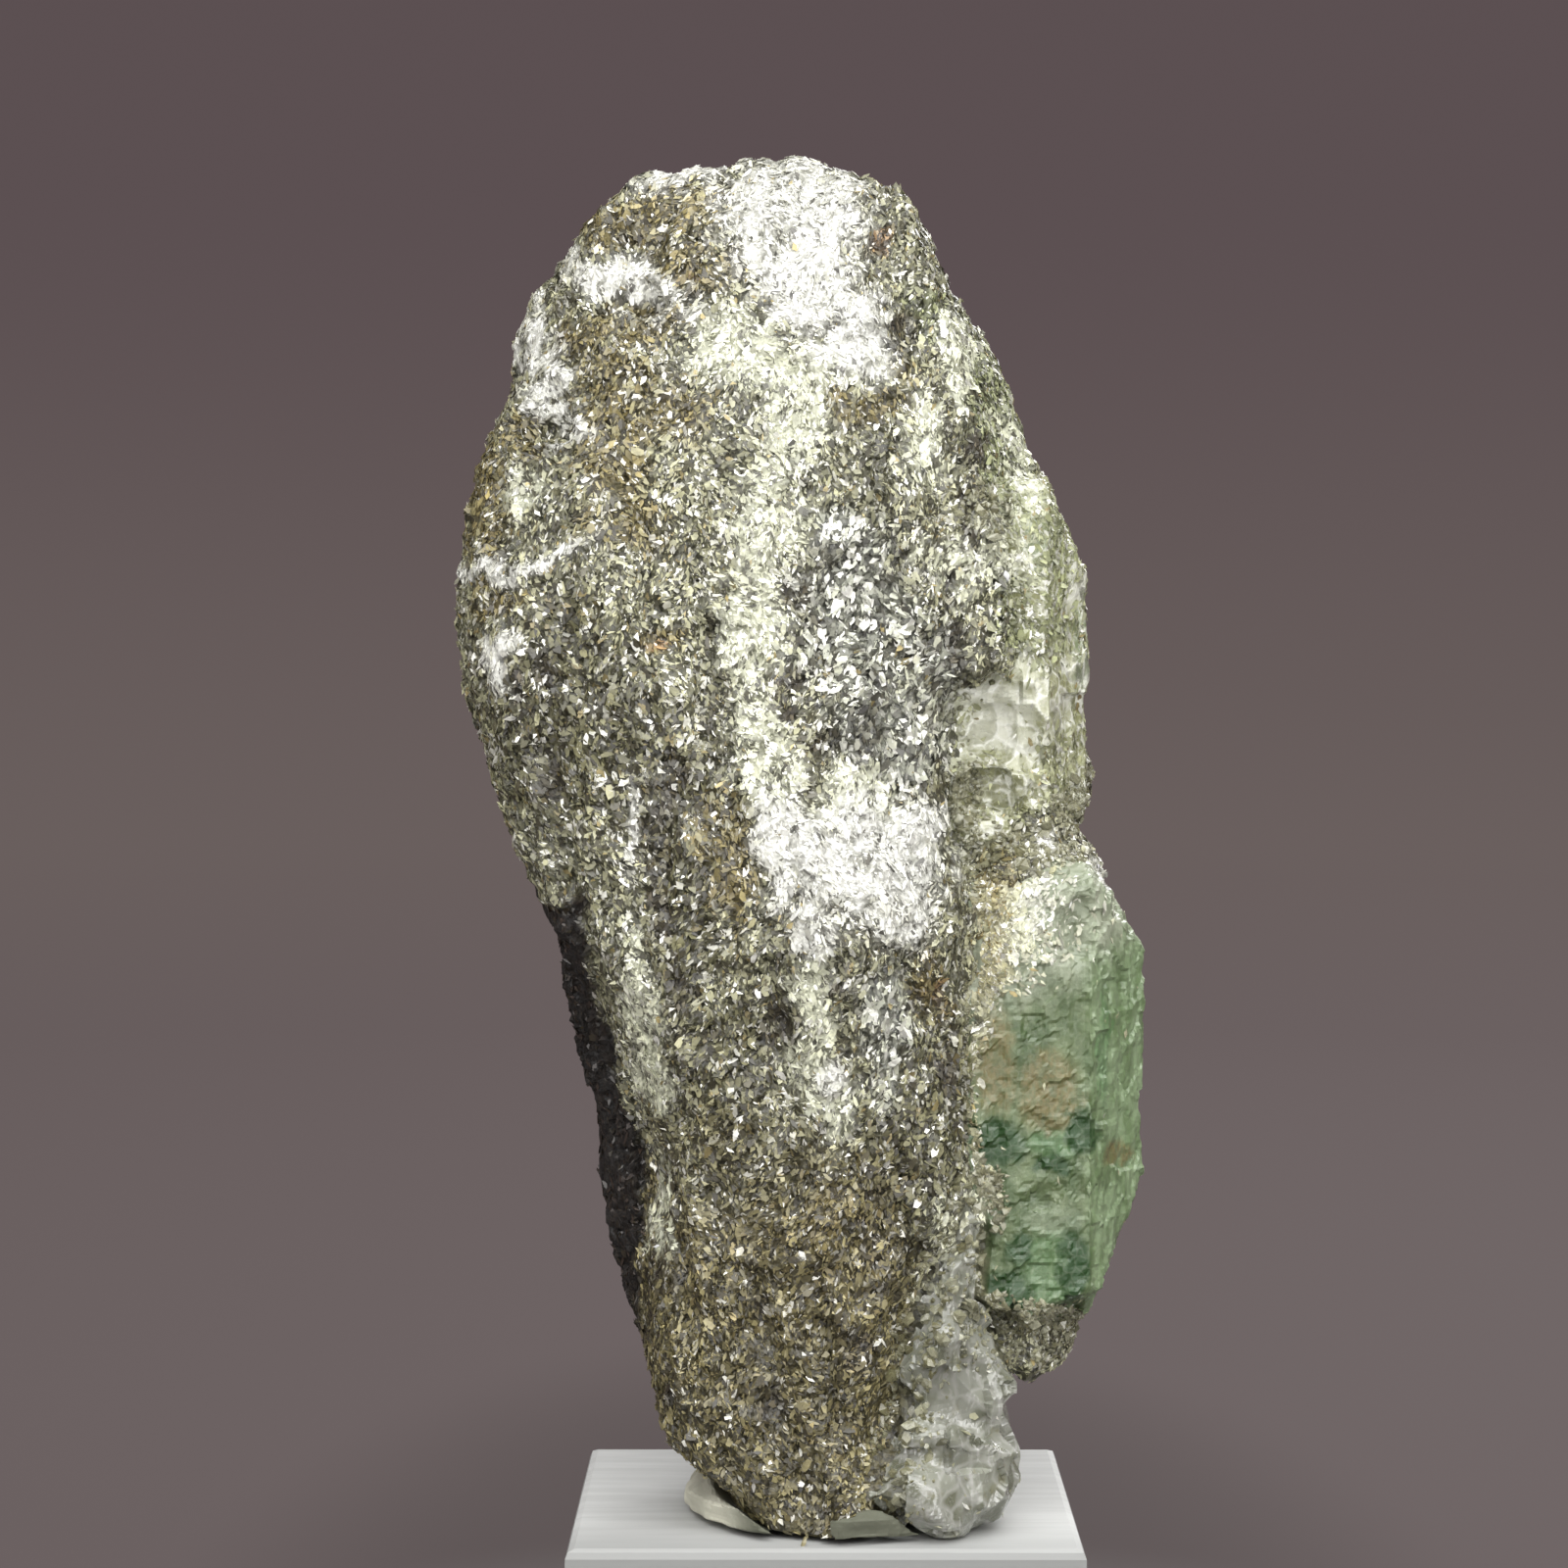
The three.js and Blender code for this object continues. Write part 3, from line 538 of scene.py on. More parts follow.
def mineral_shares(points):
    """The strength of each mineral crowd at each point, from 0 to 1."""
    across, height = seen_from_front(points)
    across = across + 1.1 * field(points, 2.8, 1) + 0.6 * field(points, 1.1, 2)
    across = across + 0.3 * field(points, 0.5, 82)
    height = height + 1.3 * field(points, 3.0, 3) + 0.7 * field(points, 1.2, 4)
    height = height + 0.4 * field(points, 0.5, 83)
    ragged = 0.28 * field(points, 0.9, 5) + 0.22 * field(points, 0.42, 84)
    front = 1 - smooth_step(points[:, 1], 0, 5)
    shares = {
        name: front * patch_strength(across, height, patches, ragged) for name, patches in PATCHES.items()
    }
    behind = 1 - front
    broad = field(points, (8, 8, 20), 6) + 0.35 * field(points, 2.5, 7)
    other = field(points, (6, 6, 13), 8) + 0.35 * field(points, 2.2, 9)
    mottled = 0.35 + 0.4 * smooth_step(field(points, 1.2, 96), -0.2, 0.4)
    shares["white"] += behind * smooth_step(broad, 0.42, 0.70) * mottled
    shares["pale"] += behind * smooth_step(other, 0.22, 0.55) * 0.8
    shares["golden"] += behind * smooth_step(-broad, 0.0, 0.45) * 0.8
    shares["silver"] += behind * smooth_step(-other, 0.2, 0.55) * 0.8
    shares["murky"] += behind * smooth_step(field(points, 11, 10), 0.0, 0.4) * 0.7
    low = smooth_step(height + 0.35 * np.abs(across + 3) + 3 * field(points, 5, 11), 24, 36)
    shares["dusky"] = (1 - low) * (1 - front * smooth_step(across, 5.5, 8.5))
    # Below the ledge at the lower left the colour is painted dark: painted shade.
    edge = np.interp(height, *zip(*RECESS_EDGE))
    shaded_recess = smooth_step(edge - across, -0.3, 0.5) * (1 - smooth_step(points[:, 1], 4, 12))
    shares["shaded_recess"] = shaded_recess * (1 - smooth_step(height, 50, 55))
    return creased_shares(shares, points, height)


print(f"seen from {EYE_DISTANCE:.0f} mm in front and {EYE_HEIGHT:.0f} mm above the block")

# %% [markdown]
# ## Where stone meets stone
#
# The solids leave a hair of room between the schist and its crystals, as separate solids must. In the
# real rock they have grown together. So the dressed schist is made from all the rock's solids at once,
# which closes that room, and is sunk a little where a crystal covers it. Each point asks search trees
# how far the schist and the crystals are, which says on which side of the seam it lies. Flakes and
# crumbs later gather along the seams too.

# %% Where stone meets stone
CRYSTAL_NODES = ("emerald_crystal", "pale_beryl_crystal", "quartz_mass")
ROCK_NODES = ("schist_matrix", *CRYSTAL_NODES)
REACH = 2.5  # millimetres


def search_tree(nodes):
    """A tree that finds the nearest face of some solids."""
    sheet = bmesh.new()
    for node in nodes:
        sheet.from_mesh(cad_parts[node].data)
    tree = BVHTree.FromBMesh(sheet)
    sheet.free()
    return tree


def neighbour(tree, places, outward):
    """The gap from each place to the tree's faces, up to REACH, and from 0 to 1 how much they shut it in."""
    gaps = np.full(len(places), REACH)
    toward = np.zeros((len(places), 3))
    for i, place in enumerate((places + (0, 0, BLOCK_TOP)) * MM):
        hit, _, _, gap = tree.find_nearest(place, REACH * MM)
        if hit is not None:
            gaps[i] = gap / MM
            toward[i] = hit - Vector(place)
    ahead = (toward * outward).sum(1) / MM / np.maximum(gaps, 0.02)
    return gaps, smooth_step(ahead, 0.2, 0.7) * (1 - smooth_step(gaps, 0.9, 1.6))


def around(node):
    """A search tree of everything that the node has grown against."""
    return search_tree([other for other in ROCK_NODES if other != node])


def past_the_seam(places, outward):
    """How far each place lies on the crystals' side of the seam in millimetres, below 0 on the schist."""
    to_schist, _ = neighbour(search_tree(["schist_matrix"]), places, outward)
    to_crystal, _ = neighbour(search_tree(CRYSTAL_NODES), places, outward)
    return to_schist - to_crystal


print("grown together:", ", ".join(ROCK_NODES))

# %% [markdown]
# ## The schist's surface
#
# Mica schist is a stack of thin layers that stand nearly upright here, and each layer breaks off at a
# depth of its own, which leaves ribs and ledges that run up the rock. So the relief is built up from
# large to small on the fine net: layers at two thicknesses, tilted grains and grit, and thicker layers
# and ribs at the back. Moving points along their outward direction, in code, keeps every size under
# control; a Displace modifier has no such layers.

# %% Layers of mica
CLEAVAGE = np.array([0.86, -0.46, 0.12])  # the direction across the layers
ALONG_LAYER = np.array([0.46, 0.88, 0.0])


def layers(points, thickness, seed):
    """Offsets from -1 to 1, alike within one layer of the rock and slowly changing along it."""
    depth = points @ CLEAVAGE + 1.2 * field(points, (7, 7, 24), seed) + 0.3 * field(points, 2.2, seed + 1)
    number = np.floor(depth / thickness)
    at = np.stack([number * 7.31, points @ ALONG_LAYER / 5, points[:, 2] / 11], axis=1)
    return field(at, 1.0, seed + 2)


print("the layers face", CLEAVAGE)

# %% The schist's surface
SCHIST_VOXEL = 0.46
schist = remeshed(merged_copy(ROCK_NODES, "mica_schist"), SCHIST_VOXEL)
relax(schist, 3)
places, outward = read_points(schist.data)
past_seam = past_the_seam(places, outward) + 0.4 * field(places, 0.9, 88)
covered = smooth_step(past_seam, -0.1, 0.5)
shares = mineral_shares(places)
behind = smooth_step(places[:, 1], -1, 6)
coarse = 1 - 0.6 * shares["white"] - 0.3 * shares["pale"]
# White and pale mineral is finer than mica, and the silver zone breaks into large chunks.
chunks, _ = facets(places, 2.4, 15, 0.42)
grains, _ = facets(places, 1.9, 13, 0.40)
grit, _ = facets(places, 0.95, 14, 0.30)
lift = 0.70 * layers(places, 2.6, 12) + 0.42 * layers(places, 1.1, 16) + coarse * (grains + grit)
lift += (0.9 * shares["silver"] + 0.35 * shares["white"]) * chunks + 0.15 * field(places, 0.8, 19)
lift += 0.30 * shares["white"] - 0.5 * shares["dark"] - 0.5 * shares["shaded_recess"]
lift += behind * (0.9 * layers(places, 4.6, 70) + 0.45 * ridges(places, (3.2, 3.2, 18), 73) - 0.55)
# The relief is weaker on the flanks, which keeps the outline. It fades towards the seams and the foot, and
# it sinks where a crystal covers the schist.
edge_care = 1 - 0.45 * np.abs(outward[:, 0])
free = (0.35 + 0.65 * smooth_step(-past_seam, 0.2, 1.5)) * smooth_step(places[:, 2], 0.4, 4.0)
lift = (np.clip(lift, -1.7, 1.1) * edge_care - 0.30) * free
lift = lift * (1 - covered) - covered * (0.35 + smooth_step(past_seam, 0.4, 2.0))
places = places + outward * lift[:, None]
places[:, 2] -= 0.4 * (1 - smooth_step(places[:, 2], 0.6, 3.0))
move_points(schist.data, places)
print(len(schist.data.polygons) * 2, "triangles in the schist")

# %% What the schist knows about itself
schist_places, schist_outward = read_points(schist.data)
schist_shares = mineral_shares(schist_places)
schist_seam = np.exp(-((past_seam / 0.8) ** 2))
schist_open = 1 - covered
print(f"{schist_open.mean():.0%} of its points are in the open")

# %% Where the minerals show, kept on the mesh
def keep_colour(mesh, name, colours):
    """Keeps one colour for each point, which the material reads back."""
    layer = mesh.color_attributes.new(name, "FLOAT_COLOR", "POINT")
    with_alpha = np.ones((len(colours), 4), np.float32)
    with_alpha[:, :3] = colours
    layer.data.foreach_set("color", with_alpha.ravel())


# The white hue carries painted light besides the pale mica's own colour, the dark hue carries painted shade
# besides the dark mica's, and the hue below the ledge is nearly black: painted shade.
HUES = {
    "base": (0.27, 0.265, 0.165), "murky": (0.135, 0.129, 0.069), "dusky": (0.180, 0.157, 0.073),
    "golden": (0.178, 0.148, 0.060), "silver": (0.405, 0.414, 0.335), "olive": (0.225, 0.24, 0.125),
    "pale": (0.60, 0.61, 0.465), "white": (0.67, 0.67, 0.615), "rusty": (0.26, 0.165, 0.075),
    "dark": (0.085, 0.072, 0.045), "shaded_recess": (0.020, 0.012, 0.007),
}


def layered(shares, hues):
    """Colours or mixes laid over each other in the order of the list, each as strong as its share."""
    result = np.tile(np.array(hues["base"], float), (len(shares["white"]), 1))
    for name in list(hues)[1:]:
        weight = np.clip(shares[name], 0, 1)[:, None]
        result = result * (1 - weight) + np.array(hues[name]) * weight
    return result


keep_colour(schist.data, "ground", layered(schist_shares, HUES))
print(len(HUES), "hues")

# %% [markdown]
# ## The schist's finish
#
# Between the flakes lies a groundmass of finer mica. Its colour is the one kept on the mesh, broken up by
# grains, wisps and fine cracks. Tiny cells tilt its gloss, each its own way, so that it glitters between
# the flakes: a random vector for each Voronoi cell is added to the surface's direction.

# %% Schist finish
def glitter(finish, size, spread, place):
    """The surface's facing, tilted at random in cells about size millimetres across."""
    tilt = finish.random_way(finish.cells(size, place), spread)
    outward = finish.node("NewGeometry", output="Normal")
    return finish.vector("NORMALIZE", finish.vector("ADD", outward, tilt))


GRAIN = 0.42  # millimetres


def schist_finish():
    finish = Finish("schist_ground", Specular_IOR_Level=0.6, Coat_Roughness=0.2)
    ground = finish.kept_colour("ground")
    light = finish.channel(ground, 1)
    lively = light.stepped(0.02, 0.14)
    bent = finish.bent(0.25, 0.7, (1, 1, 0.6))
    tone = finish.channel(finish.cells(GRAIN, bent), 0)
    wisps = finish.noise(0.55, detail=4)
    cracks = (finish.noise(1.3, detail=3) - 0.5).size().stepped(0.0, 0.05)
    shade = (tone * 0.6 + 0.2) * (wisps * 1.1 + 0.3) * (cracks * 0.6 + 0.4)
    shade = shade + light.stepped(0.36, 0.75) * (0.97 - shade) * 0.9
    finish.drive(Base_Color=finish.vector("MULTIPLY", ground, shade), Coat_Weight=lively * 0.3)
    finish.drive(Roughness=0.62 + tone * 0.35 - lively * 0.34)
    finish.drive(Metallic=tone.stepped(0.55, 0.8) * lively * 0.4)
    finish.bump(wisps, 0.35, 0.8, glitter(finish, GRAIN, 0.9, bent))
    return finish.material


schist.data.materials.append(schist_finish())
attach(schist, "root")
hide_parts("schist_matrix")
print(schist.name, "is finished in", schist.data.materials[0].name)

# %% [markdown]
# ## Soft patches as nodes
#
# The crystals' stains and deep patches change over a surface that has no flakes, so here the same kind
# of soft ellipse is written as nodes. It uses the place across and the height straight from the Object
# coordinates. Broken stone is written once too: random cells whose straight edges are bent, each with
# its tone and a crack round it.

# %% Soft patches as nodes
def node_patch(place, wander, x, z, half_wide, half_tall):
    """1 inside a soft ellipse on the front, 0 outside it. Its edge follows the wander."""
    across = (place["x"] + wander - x) * (1 / half_wide)
    up = (place["z"] - wander - (z + BLOCK_TOP)) * (1 / half_tall)
    squared = across * across + up * up
    return 1 - squared.stepped(0.35, 1.5)


def patched(finish, place, wander, body, patches, strength, tint):
    """The body with soft patches of another tint laid over it."""
    for patch in patches:
        body = finish.blend(node_patch(place, wander, *patch) * strength, body, tint)
    return body


def broken(finish, size):
    """Irregular pieces of broken stone: the bent place, a random tone for each, and 1 along their cracks."""
    bent = finish.bent(0.5 * size, 1.2 * size)
    tone = finish.channel(finish.cells(size, bent), 0)
    edge = finish.cells(size, bent, feature="DISTANCE_TO_EDGE", output="Distance")
    return bent, tone, 1 - edge.stepped(0.01, 0.13)


print("patches ready")

# %% [markdown]
# ## One way for every crystal
#
# The crystals and the putty get fine surfaces in one way: a fine copy of the solid is softened and then
# moved by a relief of its own. Where a neighbour is near, the relief fades, so that nothing pokes
# through the seam. The copy also keeps how near the seam each point is, because flakes and crumbs gather
# there.

# %% One way for every crystal
DEEPEST, HIGHEST = -0.9, 0.35  # how far the relief may move a point, in millimetres
SEAM_WIDTH = 0.7


def crystal(node, name, voxel, relief, softening=2):
    """A fine copy of a solid, moved by relief, which gives an offset for each point. It returns the piece,
    and for each point how near the seam it is and how open."""
    piece = remeshed(merged_copy([node], name), voxel)
    relax(piece, softening)
    places, outward = read_points(piece.data)
    gaps, shut_in = neighbour(around(node), places, outward)
    lift = np.clip(relief(places, outward), DEEPEST, HIGHEST) * (0.25 + 0.75 * smooth_step(gaps, 0.3, 1.2))
    move_points(piece.data, places + outward * lift[:, None])
    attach(piece, "root")
    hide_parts(node)
    print(piece.name, len(piece.data.polygons) * 2, "triangles")
    return piece, np.exp(-((gaps / SEAM_WIDTH) ** 2)) * (1 - 0.7 * shut_in), 1 - shut_in


print("relief between", DEEPEST, "and", HIGHEST, "mm")

# %% [markdown]
# ## The emerald
#
# The emerald is a six-sided prism, striped along its length, but far from a cut gem: its skin is etched
# and chipped, it is cloudy inside, and it is stained tan where schist clung to it. Its solid already has
# the faces, steps and chips. The fine net adds shallow tilted chips, stripes and grit, which grow rough
# at both ends.

# %% The emerald's relief
CRYSTAL_VOXEL = 0.28


def emerald_relief(places, outward):
    upright = 1 - np.abs(outward[:, 2])
    stripes = 0.07 * upright * ridges(places, (0.8, 0.8, 16), 31)
    steps = 0.10 * np.sign(field(places, (4.0, 4.0, 2.2), 33)) * smooth_step(field(places, 5, 34), 0.0, 0.3)
    low_end = 1 - smooth_step(places[:, 2] + 2.5 * field(places, 3, 35), 16, 24)
    top_end = smooth_step(places[:, 2] + 2.0 * field(places, 3, 36), 40, 47)
    mottled = smooth_step(field(places, 2.8, 30), -0.1, 0.35)
    chips, _ = facets(places, 1.1, 37, 0.30)
    plates, _ = facets(places, 2.9, 39, 0.10)
    chips = (0.18 + 0.30 * mottled + 0.8 * low_end + 0.6 * top_end) * chips
    return stripes + steps + chips + plates + 0.08 * field(places, 0.5, 38) - 0.12


print("a net of", CRYSTAL_VOXEL, "mm for the crystals")

# %% The emerald's stains and tints
# Across, height, half wide and half tall of soft places on it.
EMERALD_DEEP = [
    (13.4, 30.4, 2.1, 2.0), (17.4, 28.8, 1.6, 0.9), (20.0, 31.2, 1.2, 2.0), (14.3, 18.4, 1.7, 2.6),
    (19.4, 20.4, 1.1, 3.4), (15.2, 22.2, 1.1, 1.4),
]
EMERALD_VIVID = [(21.8, 38.0, 0.6, 5.0), (18.0, 30.4, 2.6, 1.0), (17.6, 20.6, 2.6, 3.0)]
EMERALD_PALE = [(18.0, 24.4, 2.2, 1.5), (12.4, 25.6, 1.6, 1.4), (16.8, 18.6, 0.8, 2.6)]
EMERALD_TAN = [
    (17.4, 34.4, 2.6, 3.2), (13.0, 37.0, 1.8, 4.4), (23.0, 29.0, 1.4, 0.9), (17.6, 13.4, 4.0, 1.8),
    (12.9, 43.6, 1.6, 2.4),
]
EMERALD_TINTS = {
    "front dark": (0.077, 0.126, 0.043), "front light": (0.154, 0.207, 0.090),
    "lit flank dark": (0.165, 0.246, 0.108), "lit flank light": (0.295, 0.400, 0.220), "tan": (0.215, 0.180, 0.068),
    "pale": (0.23, 0.285, 0.17), "vivid": (0.085, 0.215, 0.070), "deep": (0.016, 0.066, 0.010),
    "light grain": (0.38, 0.44, 0.27), "dark grain": (0.050, 0.080, 0.026), "crack": (0.44, 0.48, 0.34),
    "rubble": (0.30, 0.29, 0.185), "coat": (0.44, 0.475, 0.35),
}
RUBBLE_HEIGHT = BLOCK_TOP + 25  # below it, crushed schist still clings to the emerald's left edge
COAT_HEIGHT = BLOCK_TOP + 32.4  # where the pale coat on its shoulder begins
print(len(EMERALD_TINTS), "tints")

# %% The emerald's finish
def emerald_colour(finish, cloud, grain, cracks):
    tints = EMERALD_TINTS
    place = finish.axes(finish.place())
    wander = (finish.noise(1.6, detail=5) - 0.5) * 2.8
    front = finish.blend(cloud.stepped(0.34, 0.64), tints["front dark"], tints["front light"])
    # The flank's green is painted lighter than the front's, as light falls on it: painted light over the
    # crystal's own green.
    lit_flank = finish.blend(cloud.stepped(0.34, 0.64), tints["lit flank dark"], tints["lit flank light"])
    body = finish.blend((place["x"] + wander * 0.25).stepped(19.8, 21.6), front, lit_flank)
    stained = 0.45 + grain.stepped(0.38, 0.6) * 0.5
    body = patched(finish, place, wander, body, EMERALD_TAN, stained, tints["tan"])
    body = patched(finish, place, wander, body, EMERALD_PALE, 0.6, tints["pale"])
    body = patched(finish, place, wander, body, EMERALD_VIVID, 0.5, tints["vivid"])
    body = finish.blend(grain.stepped(0.56, 0.74) * 0.24, body, tints["light grain"])
    body = finish.blend((1 - grain).stepped(0.56, 0.74) * 0.30, body, tints["dark grain"])
    body = patched(finish, place, wander, body, EMERALD_DEEP, 0.94, tints["deep"])
    body = finish.blend(cracks * 0.10, body, tints["crack"])
    low = 1 - place["z"].stepped(RUBBLE_HEIGHT, RUBBLE_HEIGHT + 2)
    left = 1 - (place["x"] + wander * 0.3).stepped(12.2, 13.0)
    body = finish.blend(left * low * 0.9, body, tints["rubble"])
    rise = place["z"] - place["x"] * 0.46 + wander * 1.4
    coat = rise.stepped(COAT_HEIGHT, COAT_HEIGHT + 5) * (0.6 + cloud.stepped(0.4, 0.6) * 0.35)
    return finish.blend(coat, body, tints["coat"])


def emerald_finish():
    finish = Finish("emerald_green", Transmission_Weight=0.3, IOR=1.58, Coat_Weight=0.2, Coat_Roughness=0.2)
    cloud = finish.noise(1.9, detail=5, place=finish.place((1, 1, 0.5)))
    grain = finish.noise(0.36, detail=4, place=finish.place((1, 1, 0.6)))
    bent, tone, cracks = broken(finish, 0.9)
    finish.drive(Base_Color=emerald_colour(finish, cloud, grain, cracks), Roughness=0.30 + tone * 0.25)
    finish.bump(finish.noise(0.5, detail=5), 0.16, 0.6, glitter(finish, 0.9, 0.2, bent))
    return finish.material


emerald, emerald_seam, emerald_open = crystal("emerald_crystal", "emerald", CRYSTAL_VOXEL, emerald_relief)
emerald.data.materials.append(emerald_finish())

# %% [markdown]
# ## The pale beryl
#
# Above the emerald sits a paler, greyer crystal that broke into curved plates, so little of its own
# faces is left. Two sizes of hollow shells give the broken plates, its right side keeps more of the
# smooth, striped prism, and pale cracks and olive, milky and green patches in the finish part one plate
# from the next.

# %% The pale beryl's relief and tints
def beryl_relief(places, outward):
    smooth_side = 1 - 0.75 * smooth_step(outward[:, 0], 0.4, 0.9)
    stripes = 0.06 * (1 - np.abs(outward[:, 2])) * ridges(places, (1.0, 1.0, 14), 41)
    broad = shells(places, 3.0, 42, 0.7, 0.36)
    small = shells(places, 1.4, 45, 0.3, 0.30)
    return stripes + smooth_side * (broad + small) + 0.05 * field(places, 0.7, 44) - 0.2


BERYL_MILKY = [
    (13.4, 63.8, 3.2, 2.6), (11.8, 66.6, 1.6, 2.4), (16.4, 61.4, 2.2, 0.9), (19.6, 74.6, 1.4, 2.2),
]
BERYL_OLIVE = [
    (16.6, 72.0, 2.6, 4.4), (12.6, 58.4, 2.6, 1.8), (16.8, 69.4, 2.2, 1.2), (17.6, 57.6, 1.4, 2.8),
    (12.8, 54.0, 2.2, 1.2), (14.4, 76.6, 1.6, 1.6), (20.2, 60.4, 1.0, 1.8),
]
BERYL_GREEN = [(20.6, 69.0, 0.9, 4.4), (16.6, 77.4, 1.4, 2.4)]
BERYL_TINTS = {
    "dark plate": (0.27, 0.275, 0.125), "light plate": (0.58, 0.59, 0.42), "olive": (0.185, 0.185, 0.070),
    "milky": (0.88, 0.89, 0.76), "green": (0.17, 0.24, 0.11), "light veil": (0.66, 0.67, 0.55),
    "dark veil": (0.13, 0.135, 0.055), "shaded plate": (0.30, 0.31, 0.17), "crack": (0.93, 0.94, 0.84),
    "fine crack": (0.84, 0.85, 0.72),
}
print(len(BERYL_TINTS), "tints")

# %% The pale beryl's finish
def beryl_finish():
    finish = Finish("pale_beryl", Transmission_Weight=0.25, IOR=1.57, Coat_Weight=0.4, Coat_Roughness=0.08)
    tints = BERYL_TINTS
    place = finish.axes(finish.place())
    wander = (finish.noise(1.6, detail=4) - 0.5) * 2.6
    veil = finish.noise(1.3, detail=5)
    bent, tone, cracks = broken(finish, 1.7)
    _, fine_tone, fine_cracks = broken(finish, 0.7)
    body = finish.blend(tone.stepped(0.2, 0.8), tints["dark plate"], tints["light plate"])
    body = patched(finish, place, wander, body, BERYL_OLIVE, 0.6, tints["olive"])
    body = patched(finish, place, wander, body, BERYL_MILKY, 0.85, tints["milky"])
    body = patched(finish, place, wander, body, BERYL_GREEN, 0.7, tints["green"])
    body = finish.blend(veil.stepped(0.52, 0.68) * 0.45, body, tints["light veil"])
    body = finish.blend((1 - veil).stepped(0.56, 0.72) * 0.4, body, tints["dark veil"])
    body = finish.blend((1 - tone).stepped(0.45, 0.9) * 0.4, body, tints["shaded plate"])
    body = finish.blend(cracks * veil.stepped(0.36, 0.52) * 0.8, body, tints["crack"])
    body = finish.blend(fine_cracks * 0.25, body, tints["fine crack"])
    finish.drive(Base_Color=body, Roughness=0.12 + fine_tone * 0.3)
    finish.bump(veil + fine_tone * 0.5, 0.3, 0.7, glitter(finish, 1.7, 0.55, bent))
    return finish.material


pale_beryl, beryl_seam, beryl_open = crystal(
    "pale_beryl_crystal", "pale_beryl", CRYSTAL_VOXEL, beryl_relief, softening=9
)
pale_beryl.data.materials.append(beryl_finish())

# %% [markdown]
# ## The quartz
#
# Quartz has no cleavage and breaks into curved shells with glassy faces. Hollow, tilted bowls in two
# sizes, which meet in sharp crests, give the shells, and a half clear body with milky veils gives the
# grey-white depth.

# %% The quartz
def quartz_relief(places, outward):
    broad = shells(places, 3.4, 51, 0.8, 0.34)
    small = shells(places, 1.6, 52, 0.35, 0.24)
    return broad + small + 0.03 * field(places, 0.6, 53) - 0.15


QUARTZ_TINTS = {
    "dark piece": (0.27, 0.28, 0.20), "light piece": (0.48, 0.495, 0.40), "light veil": (0.60, 0.61, 0.54),
    "dark veil": (0.17, 0.175, 0.115), "stain": (0.33, 0.31, 0.15), "streak": (0.86, 0.86, 0.80),
    "crack": (0.84, 0.84, 0.78),
}


def quartz_finish():
    finish = Finish("milky_quartz", Transmission_Weight=0.55, IOR=1.54, Coat_Weight=0.5, Coat_Roughness=0.04)
    tints = QUARTZ_TINTS
    veil = finish.noise(2.4, detail=5)
    stain = finish.noise(1.5, detail=4, place=finish.bent(0.5, 2.0))
    streak = finish.noise(0.5, detail=4, place=finish.bent(0.4, 1.2, (1, 1, 0.25)))
    bent, tone, cracks = broken(finish, 2.6)
    body = finish.blend(tone.stepped(0.15, 0.85), tints["dark piece"], tints["light piece"])
    body = finish.blend(veil.stepped(0.48, 0.64) * 0.6, body, tints["light veil"])
    body = finish.blend((1 - veil).stepped(0.54, 0.68) * 0.5, body, tints["dark veil"])
    body = finish.blend(stain.stepped(0.58, 0.70) * 0.5, body, tints["stain"])
    body = finish.blend(streak.stepped(0.56, 0.66) * 0.55, body, tints["streak"])
    body = finish.blend(cracks * 0.45, body, tints["crack"])
    finish.drive(Base_Color=body, Roughness=0.07 + tone * 0.18)
    finish.bump(veil, 0.15, 0.4, glitter(finish, 2.6, 0.16, bent))
    return finish.material


quartz, quartz_seam, quartz_open = crystal("quartz_mass", "broken_quartz", CRYSTAL_VOXEL, quartz_relief)
quartz.data.materials.append(quartz_finish())

# %% [markdown]
# ## Mica flakes
#
# What makes this rock glitter is thousands upon thousands of flakes, each a small mirror with a tilt of
# its own. A painted sparkle would not move with the light, so the flakes are real: small plates with a
# point below, made by bmesh's cone with three to six corners, are copied over the rock as arrays and
# joined into a few meshes for each kind of mica. A plate has at most ten triangles, since only its flat
# top shows and its point is sunk in the rock.

# %% One flake
FLAKE_SHAPES = 5  # ragged variants for each number of corners


def flake_shape(corners, variant):
    """The points and faces of one plate of radius 1 with a sunken tip, from a cone with a ragged rim."""
    ragged = np.random.default_rng(10 * corners + variant)
    plate = bmesh.new()
    bmesh.ops.create_cone(plate, cap_ends=True, segments=corners, radius1=0, radius2=1, depth=1)
    bmesh.ops.remove_doubles(plate, verts=plate.verts, dist=1e-4)
    for point in plate.verts:
        if point.co.z > 0:
            point.co.xy *= ragged.uniform(0.65, 1.25)
        point.co.z -= 0.5
    bmesh.ops.recalc_face_normals(plate, faces=plate.faces)
    points = np.array([v.co for v in plate.verts])
    faces = [[v.index for v in face.verts] for face in plate.faces]
    plate.free()
    return points, faces


FLAKES = {
    corners: [flake_shape(corners, variant) for variant in range(FLAKE_SHAPES)] for corners in (3, 4, 5, 6)
}
print({corners: len(FLAKES[corners][0][1]) for corners in FLAKES}, "faces in a flake")

